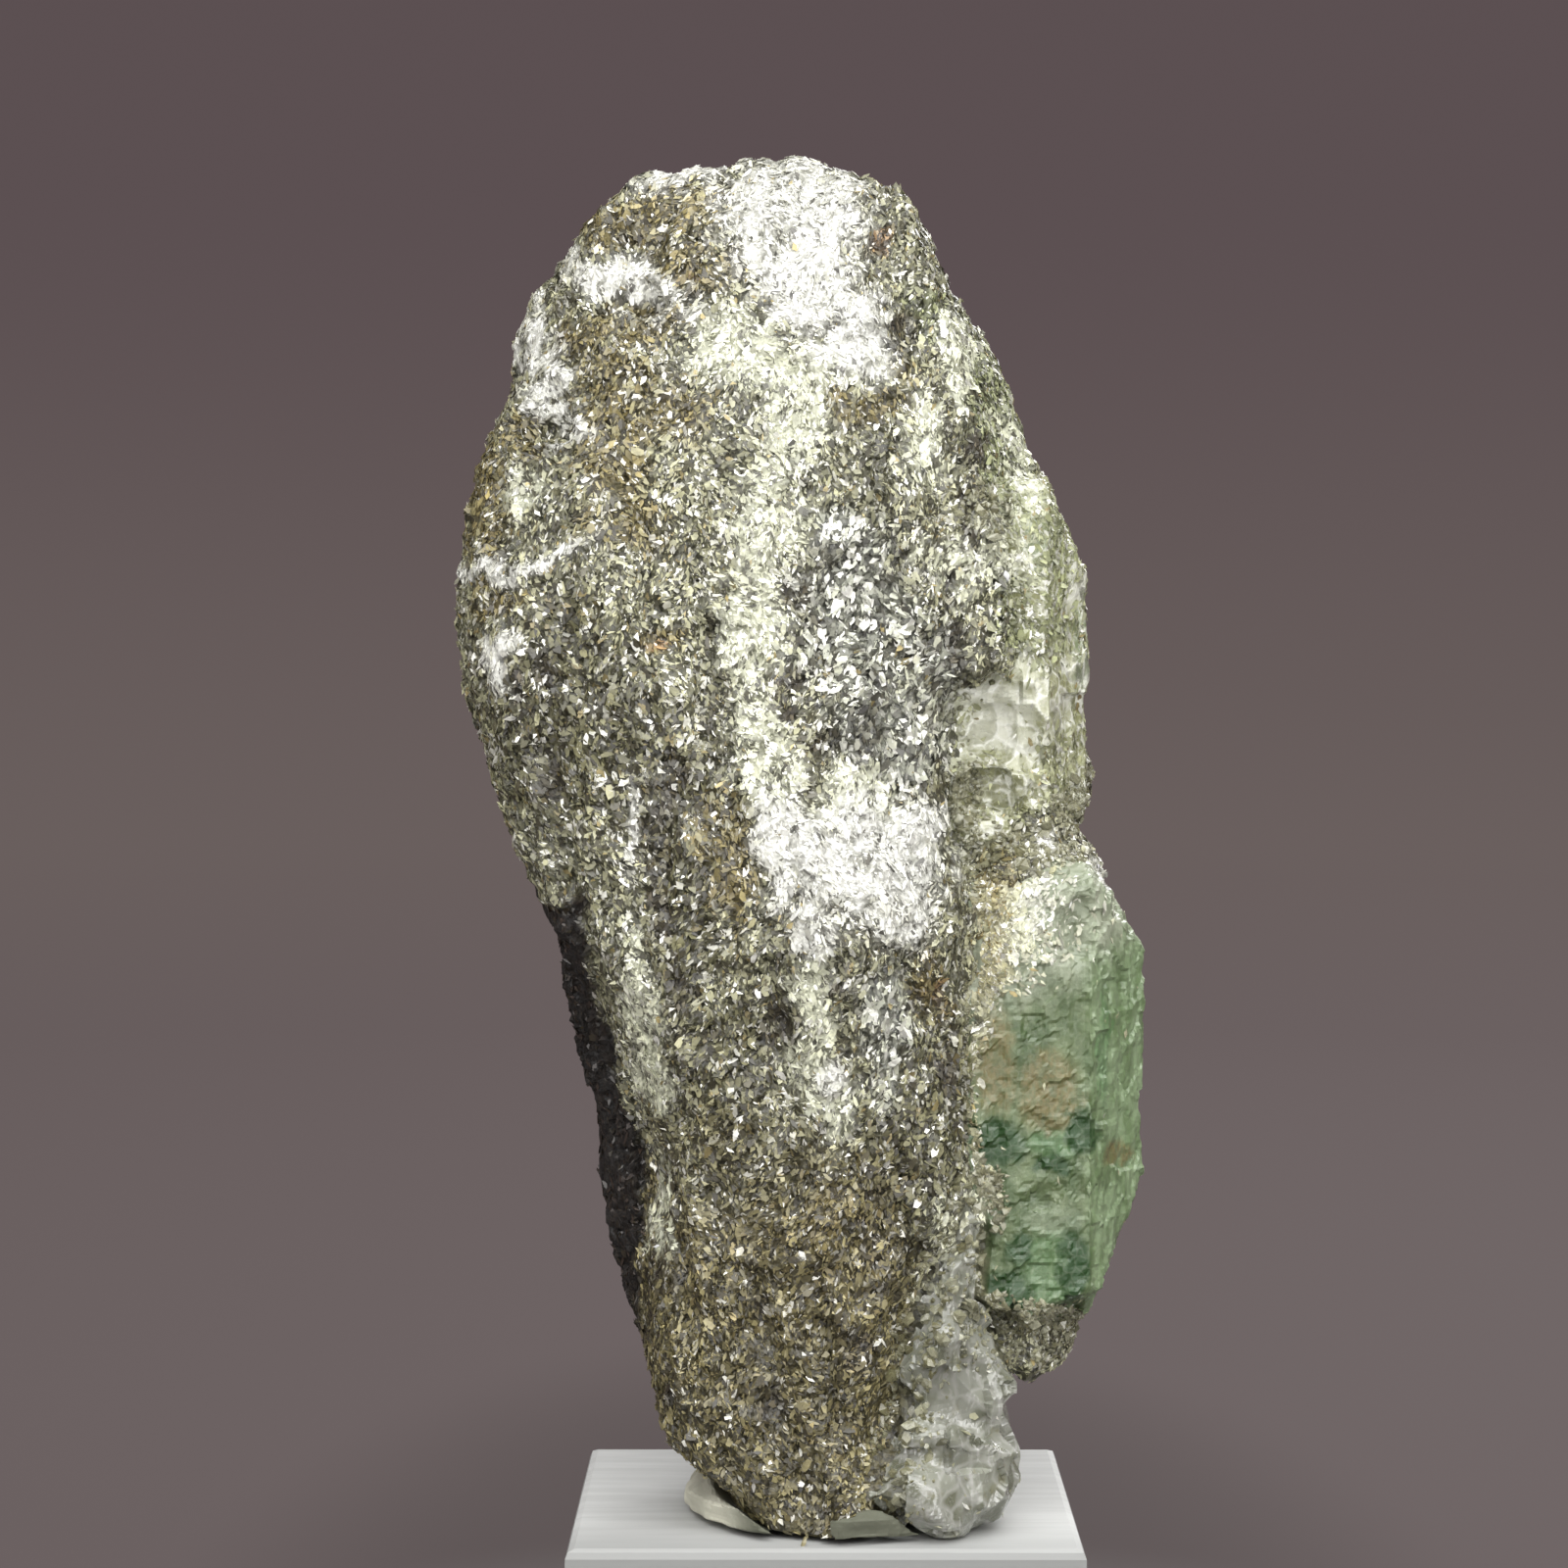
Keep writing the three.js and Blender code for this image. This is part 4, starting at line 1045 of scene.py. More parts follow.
# %% Scattering
def scatter(mesh, count, crowding):
    """Random places on the mesh's faces, and outward directions. Each point of the mesh has its crowding."""
    mesh.calc_loop_triangles()
    triangles = np.empty(len(mesh.loop_triangles) * 3, np.int32)
    mesh.loop_triangles.foreach_get("vertices", triangles)
    triangles = triangles.reshape(-1, 3)
    places, outward = read_points(mesh)
    corners = places[triangles]
    cross = np.cross(corners[:, 1] - corners[:, 0], corners[:, 2] - corners[:, 0])
    crowd = np.linalg.norm(cross, axis=1) * crowding[triangles].mean(1)
    chosen = rng.choice(len(triangles), count, p=crowd / crowd.sum())
    mix = rng.dirichlet((1, 1, 1), count)[:, :, None]
    at = (corners[chosen] * mix).sum(1)
    direction = (outward[triangles[chosen]] * mix).sum(1)
    return at, unit(direction)


def tilted_axes(at, direction, tilt):
    """Three axes for each grain: its long, short and outward ways, tilted at random. The long ways run up
    the rock in waves."""
    normal = unit(direction + tilt[:, None] * rng.normal(size=(len(at), 3)))
    swirl = 1.3 * field(at, (3.5, 3.5, 5.0), 22) + 0.6 * rng.normal(size=len(at))
    guide = np.stack([np.sin(swirl), 0.3 * np.cos(2 * swirl), np.cos(swirl)], axis=1)
    across = unit(np.cross(normal, guide))
    return np.cross(across, normal), across, normal


print("scattering ready")

# %% Joining copies
def map_face_by_face(mesh, sizes):
    """A map with a small square for every face, so that the baked colours of tiny flakes stay apart."""
    across = math.ceil(math.sqrt(len(sizes)))
    face = np.repeat(np.arange(len(sizes)), sizes)
    first = np.cumsum(sizes) - sizes
    turn = math.tau * ((np.arange(len(face)) - first[face]) / sizes[face] + 0.1)
    middle = np.stack([face % across, face // across], axis=1) + 0.5
    layer = mesh.uv_layers.new(name="OFBake", do_init=False)
    corners = (middle + 0.42 * np.stack([np.cos(turn), np.sin(turn)], axis=1)) / across
    layer.uv.foreach_set("vector", corners.astype(np.float32).ravel())


def joined_copies(name, groups):
    """One mesh of many copies. A group is the points of each copy, the faces they share and their tints."""
    all_points, all_loops, all_sizes, all_tints, so_far = [], [], [], [], 0
    for points, faces, tints in groups:
        copies, corners = points.shape[:2]
        pattern = np.concatenate(faces)
        all_points.append(points.reshape(-1, 3))
        all_loops.append((so_far + pattern + corners * np.arange(copies)[:, None]).ravel())
        all_sizes.append(np.tile([len(face) for face in faces], copies))
        uneven = rng.uniform(0.72, 1.22, (copies * corners, 1))
        all_tints.append(np.repeat(tints, corners, axis=0) * uneven)
        so_far += copies * corners
    sizes = np.concatenate(all_sizes)
    mesh = bpy.data.meshes.new(name)
    mesh.vertices.add(so_far)
    mesh.vertices.foreach_set("co", ((np.concatenate(all_points) + (0, 0, BLOCK_TOP)) * MM).ravel())
    mesh.loops.add(int(sizes.sum()))
    mesh.loops.foreach_set("vertex_index", np.concatenate(all_loops).astype(np.int32))
    mesh.polygons.add(len(sizes))
    mesh.polygons.foreach_set("loop_start", np.concatenate([[0], np.cumsum(sizes)[:-1]]).astype(np.int32))
    mesh.polygons.foreach_set("use_smooth", np.zeros(len(sizes), bool))
    mesh.update(calc_edges=True)
    keep_colour(mesh, "tint", np.clip(np.concatenate(all_tints), 0, 0.95))
    map_face_by_face(mesh, sizes)
    piece = bpy.data.objects.new(name, mesh)
    bpy.context.scene.collection.objects.link(piece)
    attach(piece, "root")
    print(name, int((sizes - 2).sum()), "triangles")
    return piece


def placed(shape, at, axes, sizes):
    """Copies of a shape's points, stretched by three sizes along three axes each."""
    spread = sum(
        shape[None, :, way, None] * axes[way][:, None] * sizes[:, None, way, None] for way in range(3)
    )
    return at[:, None] + spread


print("joining ready")

# %% [markdown]
# ## Crowding the flakes
#
# Most flakes lie on the schist. Some have grown over the crystals as well: a white coat over the
# emerald's shoulder, and patches along the edges where crystal and schist interlock. Their places
# are drawn in proportion to the area of each face of the fine nets, times a crowding that is lower
# underneath and at the back.

# %% Where the flakes lie
def schist_crowding():
    """Fewer flakes underneath, at the back, in the painted shade below the ledge and where they are large.
    """
    under = 1 - smooth_step(-schist_outward[:, 2], 0.5, 0.9)
    lit = 0.66 + 0.34 * (1 - smooth_step(schist_places[:, 1], -2, 6))
    bare = 1 - 0.8 * schist_shares["shaded_recess"]
    coarse = 1 + 0.6 * schist_shares["silver"]
    return schist_open * lit * (0.12 + 0.88 * under) * (1 + schist_seam) * bare / coarse


EMERALD_RIM = [  # height and place across of the edge up to which flakes hide the emerald
    (12, 16.5), (14, 14.0), (17, 12.5), (20, 12.9), (23, 14.0), (26, 13.4), (28, 11.6), (33, 11.2),
    (37, 12.0), (41, 14.2), (44, 15.6), (52, 16.0),
]


def emerald_crowding(places):
    """Flakes coat the emerald's shoulder and hide its left edge."""
    across, height = seen_from_front(places)
    rise = height + 1.8 * field(places, 2.2, 23) + 1.0 * field(places, 0.9, 29) - 0.46 * (across - 12)
    coat = smooth_step(rise, 38.5, 43.5) * (1 - 0.75 * smooth_step(across, 19, 21.5))
    edge = np.interp(height, *zip(*EMERALD_RIM))
    rim = 1 - smooth_step(across + 1.0 * field(places, 1.6, 24) - edge, -0.7, 0.7)
    return 0.42 * coat * (1 - 0.8 * smooth_step(across, 17, 19)) + 0.9 * rim + 0.001


def beryl_crowding(places):
    """Flakes lie in patches on the pale beryl, over its top and on its broken step."""
    across, height = seen_from_front(places)
    patchy = smooth_step(field(places, 2.4, 25) + 0.5 * field(places, 0.9, 26), 0.12, 0.42)
    top = smooth_step(height + 1.5 * field(places, 2, 28), 66, 70)
    top = top * (1 - 0.8 * smooth_step(across, 19.2, 20.4))
    near_step = np.exp(-(((across - 18.6) / 1.4) ** 2) - ((height - 58.8) / 2.6) ** 2)
    broken_step = near_step * (places[:, 1] < -3)
    return 0.30 * patchy + 0.8 * top + 1.5 * broken_step + 0.02


ON_EMERALD, ON_BERYL = 1, 2  # their places in the list of what flakes lie on
FLAKE_HOSTS = [  # piece, number of flakes and crowding
    (schist, 140000, schist_crowding()),
    (emerald, 4200, emerald_open * (emerald_crowding(read_points(emerald.data)[0]) + emerald_seam)),
    (pale_beryl, 3800, beryl_open * (beryl_crowding(read_points(pale_beryl.data)[0]) + beryl_seam)),
    (quartz, 500, quartz_open * (quartz_seam + 0.001)),
]
drawn = [scatter(piece.data, count, crowding) for piece, count, crowding in FLAKE_HOSTS]
flake_at = np.concatenate([at for at, _ in drawn])
flake_out = np.concatenate([direction for _, direction in drawn])
FLAKE_COUNT = len(flake_at)
host_of_flake = np.repeat(np.arange(len(FLAKE_HOSTS)), [count for _, count, _ in FLAKE_HOSTS])
flake_shares = mineral_shares(flake_at)
coated = (host_of_flake == ON_EMERALD) * smooth_step(flake_at[:, 2], 40, 44)
on_right = smooth_step(flake_at[:, 0], 13, 15.5)
on_left = 1 - smooth_step(flake_at[:, 0], 14, 16)
flake_shares["pale"] = np.maximum(flake_shares["pale"], 0.6 * coated * on_right)
flake_shares["golden"] = np.maximum(flake_shares["golden"], 0.4 * coated * on_left)
flake_shares["white"] = flake_shares["white"] * (1 - 0.5 * coated)
on_beryl = host_of_flake == ON_BERYL
flake_shares["olive"] = np.maximum(flake_shares["olive"], 0.6 * on_beryl)
for name in ("dark", "murky", "dusky"):
    flake_shares[name] = flake_shares[name] * (1 - np.maximum(coated, on_beryl))
print(FLAKE_COUNT, "flakes")

# %% [markdown]
# ## Kinds of mica
#
# Four kinds share the surface: body flakes in the patch's own hue, bright flakes that mirror the lights,
# golden flakes, and dark ones. At each place the crowd's mix depends on the mineral shares there, and
# each flake rolls a die for its kind. The silver zone has the largest flakes and the white zones have
# the finest.

# %% Kinds of mica
MIXES = {  # the shares of body, bright and golden flakes in each zone; the rest are dark
    "base": (0.46, 0.27, 0.05), "murky": (0.46, 0.20, 0.06), "dusky": (0.52, 0.12, 0.11),
    "golden": (0.54, 0.14, 0.20), "silver": (0.46, 0.42, 0.01), "olive": (0.58, 0.24, 0.04),
    "pale": (0.75, 0.22, 0.00), "white": (0.88, 0.12, 0.00), "dark": (0.38, 0.08, 0.02),
    "shaded_recess": (0.60, 0.00, 0.00),
}
KINDS = ("body", "bright", "golden", "dark")
mixes = layered(flake_shares, MIXES)
clump = smooth_step(field(flake_at, (0.8, 0.8, 1.2), 95), -0.35, 0.35)
raised = np.clip(layers(flake_at, 2.6, 12) + 0.6 * layers(flake_at, 1.1, 16), -1, 1)
raised *= 1 - flake_shares["white"]
mixes[:, 1] *= (0.45 + 1.0 * clump) * (1 + 0.35 * raised)
mixes[:, 0] *= 0.84 + 0.16 * clump
kind_of_flake = (rng.random(FLAKE_COUNT)[:, None] > np.cumsum(mixes, axis=1)).sum(1)
kind_of_flake[(host_of_flake > 0) & (kind_of_flake == KINDS.index("dark"))] = KINDS.index("body")
print({kind: int((kind_of_flake == number).sum()) for number, kind in enumerate(KINDS)})

# %% Sizes, tilts and hues of the flakes
FLAKE_RADIUS = 0.26  # millimetres, for a common flake
FLAKE_SPREAD = 0.34  # of the sizes, as a natural logarithm
size_of_flake = FLAKE_RADIUS * np.exp(FLAKE_SPREAD * np.clip(rng.normal(size=FLAKE_COUNT), -2.0, 1.5))
size_of_flake *= np.array([1.04, 0.95, 0.95, 1.0])[kind_of_flake]
large_and_bright = (kind_of_flake == KINDS.index("bright")) * (rng.random(FLAKE_COUNT) < 0.5)
size_of_flake *= 1 + (0.5 * large_and_bright + 0.15) * flake_shares["silver"]
size_of_flake *= 1 - 0.05 * flake_shares["white"] + 0.15 * flake_shares["murky"]
slimness = rng.uniform(0.26, 0.80, FLAKE_COUNT) * (1 - 0.25 * flake_shares["white"])
tilt_of_flake = 0.30 + 0.04 * flake_shares["silver"] - 0.15 * flake_shares["white"]
tilt_of_flake -= 0.06 * flake_shares["pale"]
tilt_of_flake *= 0.5 + 0.5 * smooth_step(np.abs(flake_out[:, 1]), 0.1, 0.5)
flake_axes = tilted_axes(flake_at, flake_out, tilt_of_flake)
_, chunk_tone = facets(flake_at, 1.7, 75, 1)
folds = (0.9 * chunk_tone - 0.45)[:, None] * flake_shares["silver"][:, None] + 1
# Flakes on raised layers are painted lighter and those on sunken ones darker: painted light and shade.
hue_of_flake = layered(flake_shares, HUES) * folds * (1 + 0.3 * raised[:, None])
print(f"flakes from {2 * size_of_flake.min():.1f} to {2 * size_of_flake.max():.1f} mm across")

# %% The tint of each flake
MIRROR_TINT = np.array([0.90, 0.895, 0.82])
GOLDEN_TINT = np.array([0.31, 0.255, 0.115])
DARKEST_TINT = np.array([0.014, 0.010, 0.002])


def flake_tints(kind, hues):
    """A tint for each flake of one kind, from the hue of the place where it lies."""
    uneven = np.exp(rng.normal(0, 0.26, (len(hues), 1)))
    lightness = hues.mean(1, keepdims=True)
    if kind == "body":
        calm = smooth_step(lightness, 0.4, 0.7)
        return np.clip(hues * (1.2 - 0.14 * calm) * uneven ** (1 - 0.6 * calm), 0, 0.95)
    if kind == "bright":
        share = rng.uniform(0.35, 0.92, (len(hues), 1))
        return hues * (1 - share) + MIRROR_TINT * share
    if kind == "golden":
        return np.clip(GOLDEN_TINT * uneven * (0.4 + 2 * lightness), 0, 0.9)
    return (hues * 0.15 + DARKEST_TINT) * uneven


print("tints ready")

# %% [markdown]
# ## How mica shines
#
# Mica is a stack of thin clear sheets, so it mirrors like weak metal and glows in its own colour at
# once. The bright and golden kinds are partly metallic under a clear coat, and the other two have only
# the coat. The tint that each flake keeps is shaded by fine grain, and a fine crumple bends its
# reflections, so that no two faces are alike.

# %% Mica finishes
def mica_finish(name, metallic, roughness):
    finish = Finish(name, Metallic=metallic, Coat_Weight=0.4, Coat_Roughness=0.15, Specular_IOR_Level=0.7)
    sheen = finish.noise(0.5, detail=3)
    tint = finish.vector("MULTIPLY", finish.kept_colour("tint"), sheen * 0.9 + 0.55)
    finish.drive(Base_Color=tint)
    finish.drive(Roughness=roughness + sheen * 0.25)
    finish.bump(finish.noise(0.35, detail=3), 0.10, 0.7)
    return finish.material


MICA_LOOKS = {
    "body": mica_finish("fine_mica", 0.0, 0.38), "bright": mica_finish("bright_mica", 0.5, 0.2),
    "golden": mica_finish("golden_mica", 0.35, 0.26), "dark": mica_finish("dark_mica", 0.0, 0.38),
}
print(len(MICA_LOOKS), "kinds of mica")

# %% The flakes as meshes
def flake_groups(own, tints):
    """The flakes that are chosen, gathered by number of corners and ragged variant."""
    radius = size_of_flake[own]
    corners_of = np.where(radius > 0.40, 5, 3) + rng.integers(0, 2, own.sum())
    variant_of = rng.integers(FLAKE_SHAPES, size=own.sum())
    sizes = np.stack([1.2 * radius, radius * slimness[own], 0.45 * radius], axis=1)
    at = flake_at[own] + flake_out[own] * 0.12 * radius[:, None]
    axes = [axis[own] for axis in flake_axes]
    for corners, shapes in FLAKES.items():
        for variant, (shape, faces) in enumerate(shapes):
            mine = (corners_of == corners) & (variant_of == variant)
            yield placed(shape, at[mine], [axis[mine] for axis in axes], sizes[mine]), faces, tints[mine]


in_front = flake_at[:, 1] < -4  # these two planes part the flakes into four meshes of like size
high_up = flake_at[:, 2] > 58
REGIONS = {
    "front_low": in_front & ~high_up, "front_high": in_front & high_up,
    "back_low": ~in_front & ~high_up, "back_high": ~in_front & high_up,
}
for number, kind in enumerate(KINDS):
    for region, here in REGIONS.items():
        own = (kind_of_flake == number) & here
        tints = flake_tints(kind, hue_of_flake[own])
        piece = joined_copies(f"{kind}_mica_{region}", flake_groups(own, tints))
        piece.data.materials.append(MICA_LOOKS[kind])

# %% [markdown]
# ## Crumbs along the seams
#
# Where quartz, emerald and schist meet, the rock is crushed into angular crumbs: mostly of quartz and
# pale beryl in the crushed patches, and of the schist itself along the other seams. A crumb is an
# icosphere of twenty faces with its corners pushed in and out, and the crumbs are joined like the
# flakes.

# %% One crumb
CRUMB_SHAPES = 6


def crumb_shape(variant):
    ragged = np.random.default_rng(70 + variant)
    stone = bmesh.new()
    bmesh.ops.create_icosphere(stone, subdivisions=1, radius=1)
    for point in stone.verts:
        point.co *= ragged.uniform(0.45, 1.15)
    points = np.array([v.co for v in stone.verts])
    faces = [[v.index for v in face.verts] for face in stone.faces]
    stone.free()
    return points, faces


print(len(crumb_shape(0)[1]), "faces in a crumb")

# %% Where the rock is crushed
RUBBLE = [  # where the rock is crushed: across, height, half wide, half tall and lean
    (11.4, 22.0, 1.3, 7.0, 4), (12.6, 13.5, 2.6, 3.4, 0), (9.8, 19.0, 1.0, 5.0, 0),
    (17.4, 13.2, 3.8, 2.6, 0), (11.6, 56.0, 1.4, 4.0, 0), (15.5, 52.6, 4.6, 1.8, 0),
    (13.0, 80.0, 2.4, 2.6, 0), (20.0, 55.6, 1.8, 2.6, 0), (12.8, 24.4, 1.8, 2.6, 0),
    (7.0, 6.0, 2.4, 9.0, 6), (9.0, 13.0, 2.0, 5.0, 0),
]
SHARDS = [  # where larger shards lie among the crumbs
    (6.2, 5.0, 2.2, 8.0, 8), (8.4, 12.0, 2.0, 5.0, 0), (10.8, 17.0, 1.6, 4.0, 0),
    (12.6, 24.4, 1.2, 1.6, 0),
]


def crushed(points):
    """How crushed the rock is at each point, from 0 to 1."""
    across, height = seen_from_front(points)
    front = 1 - smooth_step(points[:, 1], -2, 4)
    return front * patch_strength(across, height, RUBBLE, 0.3 * field(points, 1.2, 71))


def crumb_crowding(piece, seam, openness):
    """How crowded with crumbs each point of a piece is: in runs along its seam and where it is crushed."""
    places, _ = read_points(piece.data)
    in_runs = 0.35 + 0.65 * smooth_step(field(places, 2.2, 72), -0.5, 0.3)
    return openness * (seam * in_runs + 0.5 * crushed(places)) + 1e-6


print(len(RUBBLE), "crushed patches")

# %% Places, sizes and tints of the crumbs
CRUMB_RADIUS = 0.27
LARGEST_CRUMB = 0.7
PALE_CRUMB = np.array([0.50, 0.50, 0.37])
DULL_CRUMB = np.array([0.20, 0.19, 0.10])
CRUMB_HOSTS = [  # piece, number of crumbs, nearness to the seam and openness
    (schist, 3300, schist_seam, schist_open), (emerald, 1500, emerald_seam, emerald_open),
    (pale_beryl, 900, beryl_seam, beryl_open), (quartz, 500, quartz_seam, quartz_open),
]
drawn = [scatter(piece.data, count, crumb_crowding(piece, *near)) for piece, count, *near in CRUMB_HOSTS]
crumb_at = np.concatenate([at for at, _ in drawn])
crumb_out = np.concatenate([direction for _, direction in drawn])
crumb_axes = tilted_axes(crumb_at, crumb_out, np.full(len(crumb_at), 0.5))
crumb_size = CRUMB_RADIUS * np.exp(rng.normal(0, 0.40, (len(crumb_at), 1)))
crumb_size = crumb_size * rng.uniform(0.5, 1.3, (len(crumb_at), 3))
crumb_size[:, 2] *= 0.7
shard = patch_strength(*seen_from_front(crumb_at), SHARDS, 0) * (rng.random(len(crumb_at)) < 0.35)
crumb_size = np.minimum(crumb_size * (1 + shard[:, None]), LARGEST_CRUMB)
pallor = np.clip(rng.normal(0.36, 0.26, (len(crumb_at), 1)), 0, 1)
glassy = DULL_CRUMB * (1 - pallor) + PALE_CRUMB * pallor
earthy = layered(mineral_shares(crumb_at), HUES) * np.exp(rng.normal(0, 0.4, (len(crumb_at), 1)))
crumbled = np.clip(0.15 + crushed(crumb_at), 0, 1)[:, None]
crumb_tints = np.clip(earthy * (1 - crumbled) + glassy * crumbled, 0, 0.9)
crumb_variant = rng.integers(CRUMB_SHAPES, size=len(crumb_at))
print(len(crumb_at), "crumbs")

# %% The crumbs as a mesh
def crumb_groups():
    for variant in range(CRUMB_SHAPES):
        shape, faces = crumb_shape(variant)
        mine = crumb_variant == variant
        points = placed(shape, crumb_at[mine], [axis[mine] for axis in crumb_axes], crumb_size[mine])
        yield points, faces, crumb_tints[mine]


def crumb_finish():
    finish = Finish(
        "crushed_quartz", Transmission_Weight=0.3, IOR=1.54, Coat_Weight=0.4, Coat_Roughness=0.06
    )
    veil = finish.noise(0.6, detail=3)
    tint = finish.vector("MULTIPLY", finish.kept_colour("tint"), veil * 0.8 + 0.6)
    finish.drive(Base_Color=tint, Roughness=0.12 + veil * 0.3)
    return finish.material


crumbs = joined_copies("seam_crumbs", crumb_groups())
crumbs.data.materials.append(crumb_finish())

# %% [markdown]
# ## The putty
#
# The pad was rolled in the hand and squeezed out under the rock, so its rim is rounded and creased. The
# creases are ridges across the rim, and the finish is matt with faint smears. At the front, in the
# rock's shade, it is painted dark: painted shade.

# %% The putty
def putty_relief(places, outward):
    rim = 1 - np.abs(outward[:, 2])
    return 0.40 * ridges(places, (3.2, 3.2, 2.4), 61) * rim + 0.16 * field(places, 1.6, 62) - 0.2


DARK_SMEAR, LIGHT_SMEAR, SHADED_PUTTY = (0.46, 0.455, 0.365), (0.62, 0.61, 0.50), (0.085, 0.090, 0.062)


def putty_finish():
    finish = Finish("old_putty", Specular_IOR_Level=0.3)
    smear = finish.noise(4.0, detail=5)
    body = finish.blend(smear.stepped(0.3, 0.7), DARK_SMEAR, LIGHT_SMEAR)
    place = finish.axes(finish.place())
    # Painted shade: the front of the pad, under the rock, is painted dark.
    front = (1 - place["y"].stepped(-14, -8)) * place["x"].stepped(-9, -5)
    body = finish.blend(front * 0.95, body, SHADED_PUTTY)
    finish.drive(Base_Color=body, Roughness=0.6 + smear * 0.2)
    finish.bump(finish.noise(0.8, detail=5), 0.2, 0.5)
    return finish.material


PUTTY_VOXEL = 0.4
putty, _, _ = crystal("mounting_putty", "putty_pad", PUTTY_VOXEL, putty_relief)
putty.data.materials.append(putty_finish())

# %% [markdown]
# ## The block
#
# The block's solid is already right, so it stays and only gets a finish: white, satin, brushed faintly
# across, with a few grey scuffs. The front of its top is darker with painted shade, and its sides are
# darker than its top with painted shade.

# %% The block's finish
BLOCK_TINTS = {
    "dark brushing": (0.48, 0.485, 0.47), "light brushing": (0.555, 0.56, 0.545),
    "scuff": (0.50, 0.51, 0.50), "painted front shade": (0.33, 0.335, 0.325), "side": (0.27, 0.275, 0.265),
}


def block_finish():
    finish = Finish("white_block", Specular_IOR_Level=0.3)
    brush = finish.noise(1.2, detail=4, place=finish.place((0.12, 1, 1)))
    scuff = finish.noise(0.5, detail=5, place=finish.place((0.35, 1, 1))).stepped(0.60, 0.72)
    tints = BLOCK_TINTS
    body = finish.blend(brush.stepped(0.3, 0.7), tints["dark brushing"], tints["light brushing"])
    body = finish.blend(scuff * 0.5, body, tints["scuff"])
    place = finish.axes(finish.place())
    # Painted shade: the front of the top is darker.
    painted_front_shade = 1 - place["y"].stepped(-20, -6)
    body = finish.blend(painted_front_shade * 0.8, body, tints["painted front shade"])
    # Painted shade: the sides are darker than the top.
    upright = 1 - finish.axes(finish.node("NewGeometry", output="Normal"))["z"].size()
    body = finish.blend(upright.stepped(0.3, 0.8) * 0.9, body, tints["side"])
    finish.drive(Base_Color=body, Roughness=0.55 + brush * 0.25)
    finish.bump(brush, 0.02, 0.25)
    return finish.material


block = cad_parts["display_block"]
block.data.materials.clear()
block.data.materials.append(block_finish())
print(block.name, "is finished in", block.data.materials[0].name)

# %% [markdown]
# ## The stage
#
# Photographers hang a graduated sheet behind small things. The sheet here is a bowl, so that every view
# has a quiet background: one profile spun about the upright axis. Under and before the block it is a
# plain grey floor that takes light and shadow. Further back it is warm grey and glows faintly by itself,
# so that it stays even, and a painted shadow darkens that glow behind the block.

# %% The bowl
FLOOR_RADIUS = 0.55
WALL_RADIUS = 1.1
WALL_HEIGHT = 1.3
BELOW_BLOCK = 0.0003  # keeps the sheet clear of the block's underside


def stage_bowl():
    """A floor that bends up into a wall all round, spun from one profile."""
    bowl = bmesh.new()
    bend = [(0.75, 0.02), (0.88, 0.07), (0.98, 0.16), (1.05, 0.29)]
    floor = [(0.0, 0.0), (0.1, 0.0), (FLOOR_RADIUS, 0.0)]
    wall = [(WALL_RADIUS, 0.48), (WALL_RADIUS, WALL_HEIGHT)]
    profile = floor + bend + wall
    points = [bowl.verts.new((radius, 0, height - BELOW_BLOCK)) for radius, height in profile]
    edges = [bowl.edges.new(pair) for pair in zip(points, points[1:])]
    bmesh.ops.spin(
        bowl, geom=points + edges, cent=(0, 0, 0), axis=(0, 0, 1), angle=math.tau, steps=64, use_merge=True
    )
    bmesh.ops.remove_doubles(bowl, verts=bowl.verts, dist=1e-5)
    bmesh.ops.recalc_face_normals(bowl, faces=bowl.faces)
    if sum(face.normal.z for face in bowl.faces) < 0:
        bmesh.ops.reverse_faces(bowl, faces=bowl.faces)
    mesh = bpy.data.meshes.new("studio_bowl")
    bowl.to_mesh(mesh)
    bowl.free()
    mesh.polygons.foreach_set("use_smooth", [True] * len(mesh.polygons))
    stage = bpy.data.objects.new("studio_bowl", mesh)
    bpy.context.scene.collection.objects.link(stage)
    return stage


stage = stage_bowl()
stage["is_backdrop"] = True
print(len(stage.data.polygons), "faces in the bowl")

# %% The bowl's finish
BLACK = (0, 0, 0)
LIT_FLOOR, DIM_SHEET = (0.138, 0.129, 0.126), (0.012, 0.010, 0.010)
GLOW_LOW, GLOW_NEAR, GLOW_HIGH = (0.116, 0.092, 0.092), (0.130, 0.104, 0.100), (0.098, 0.073, 0.077)
SHADOW_MIDDLE = 30  # millimetres behind the block's middle
SHADOW_HALF_WIDTH, SHADOW_HALF_LENGTH = 62, 150


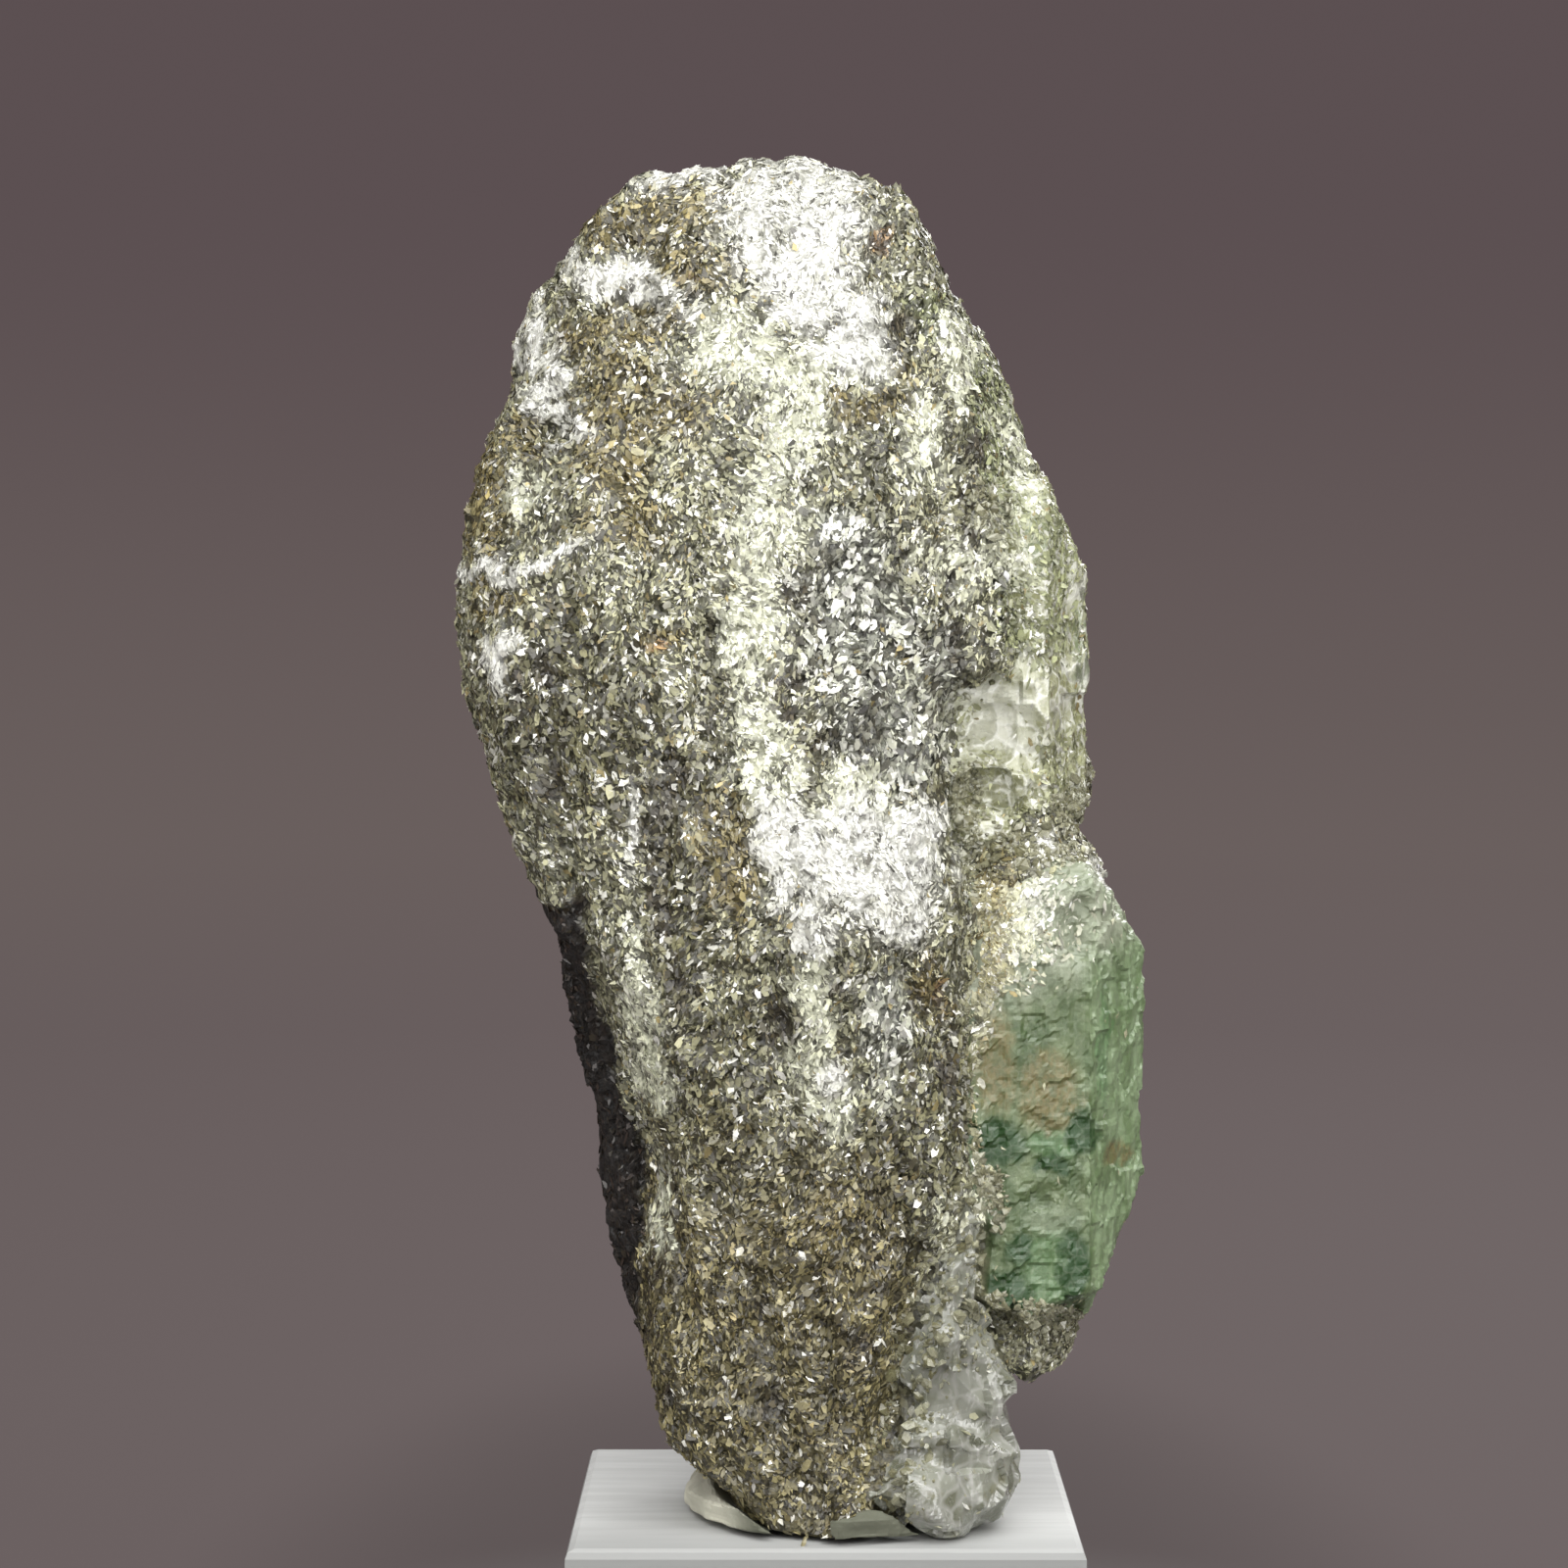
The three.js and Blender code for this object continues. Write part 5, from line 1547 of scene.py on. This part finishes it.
def stage_finish():
    finish = Finish("graduated_sheet", Roughness=0.9, Specular_IOR_Level=0.1, Emission_Strength=1.0)
    place = finish.axes(finish.place())
    away = finish.vector("LENGTH", finish.place(), output="Value")
    before = (1 - place["y"].stepped(-120, 36)) * (1 - away.stepped(120, 520)) * 0.8
    lit_floor = before.math("MAXIMUM", before, 1 - away.stepped(24, 60))
    near = finish.blend(place["z"].stepped(-5, 30), GLOW_LOW, GLOW_NEAR)
    grey = finish.blend(place["z"].stepped(10, 230), near, GLOW_HIGH)
    # Painted shadow: the glow is darkened in a soft ellipse behind the block.
    across = place["x"] * (1 / SHADOW_HALF_WIDTH)
    beyond = (place["y"] - SHADOW_MIDDLE) * (1 / SHADOW_HALF_LENGTH)
    shadow = 1 - (across * across + beyond * beyond).stepped(0.1, 1.0)
    grey = finish.blend(shadow * 0.3, grey, BLACK)
    finish.drive(Base_Color=finish.blend(lit_floor, DIM_SHEET, LIT_FLOOR))
    finish.drive(Emission_Color=finish.blend(lit_floor, grey, BLACK))
    return finish.material


stage.data.materials.append(stage_finish())
print(stage.name, "is finished in", stage.data.materials[0].name)

# %% [markdown]
# ## The lights
#
# The photograph has a broad light above and in front, which bleaches the faces that look up, and smaller
# sources that make the flakes flash. Soft area lights do the same here. One behind serves the views from
# the back, one just over the floor stands in for the light that a table throws up, and a dim world fills
# the shadows.

# %% The lights
TARGET = Vector((-2, -6, BLOCK_TOP + 55)) * MM


def softbox(name, place, width, height, watts, toward=TARGET):
    """A rectangular light that the camera doesn't see."""
    lamp = bpy.data.lights.new(name, "AREA")
    lamp.shape = "RECTANGLE"
    lamp.size = width
    lamp.size_y = height
    lamp.energy = watts
    holder = bpy.data.objects.new(name, lamp)
    holder.location = place
    holder.rotation_euler = (toward - holder.location).to_track_quat("-Z", "Y").to_euler()
    holder.visible_camera = False
    bpy.context.scene.collection.objects.link(holder)


LAMPS = [  # name, place, width and height in metres, and watts
    ("top_front", (0.02, -0.26, 0.62), 0.90, 0.50, 5.5),
    ("high_front", (0.05, -0.66, 0.44), 0.60, 0.36, 2.9),
    ("left_glint", (-0.52, -0.42, 0.34), 0.24, 0.44, 1.3),
    ("right_glint", (0.50, -0.40, 0.30), 0.24, 0.44, 1.7),
    ("back_fill", (0.25, 0.55, 0.45), 0.40, 0.40, 3.2),
    ("floor_bounce", (0.0, -0.20, 0.002), 0.50, 0.22, 1.5, Vector((0, -0.10, 1))),  # shines upward
]
for lamp in LAMPS:
    softbox(*lamp)
print(f"{sum(lamp.energy for lamp in bpy.data.lights):.1f} watts of light")

# %% The air
world = bpy.data.worlds.new("studio_air")
world.use_nodes = True
air = world.node_tree.nodes["Background"].inputs
air["Color"].default_value = (0.55, 0.56, 0.57, 1)
air["Strength"].default_value = 0.38
bpy.context.scene.world = world
print(world.name, "fills the shadows")

# %% [markdown]
# ## Closing the frame
#
# The dressed rock must not be bigger than its solids, so both boxes are written down and compared.

# %% Sizes and the end
made_low, made_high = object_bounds()
grown = (made_high - made_low) - (cad_high - cad_low)
print("growth of the box in mm:", [round(side / MM, 2) for side in grown])
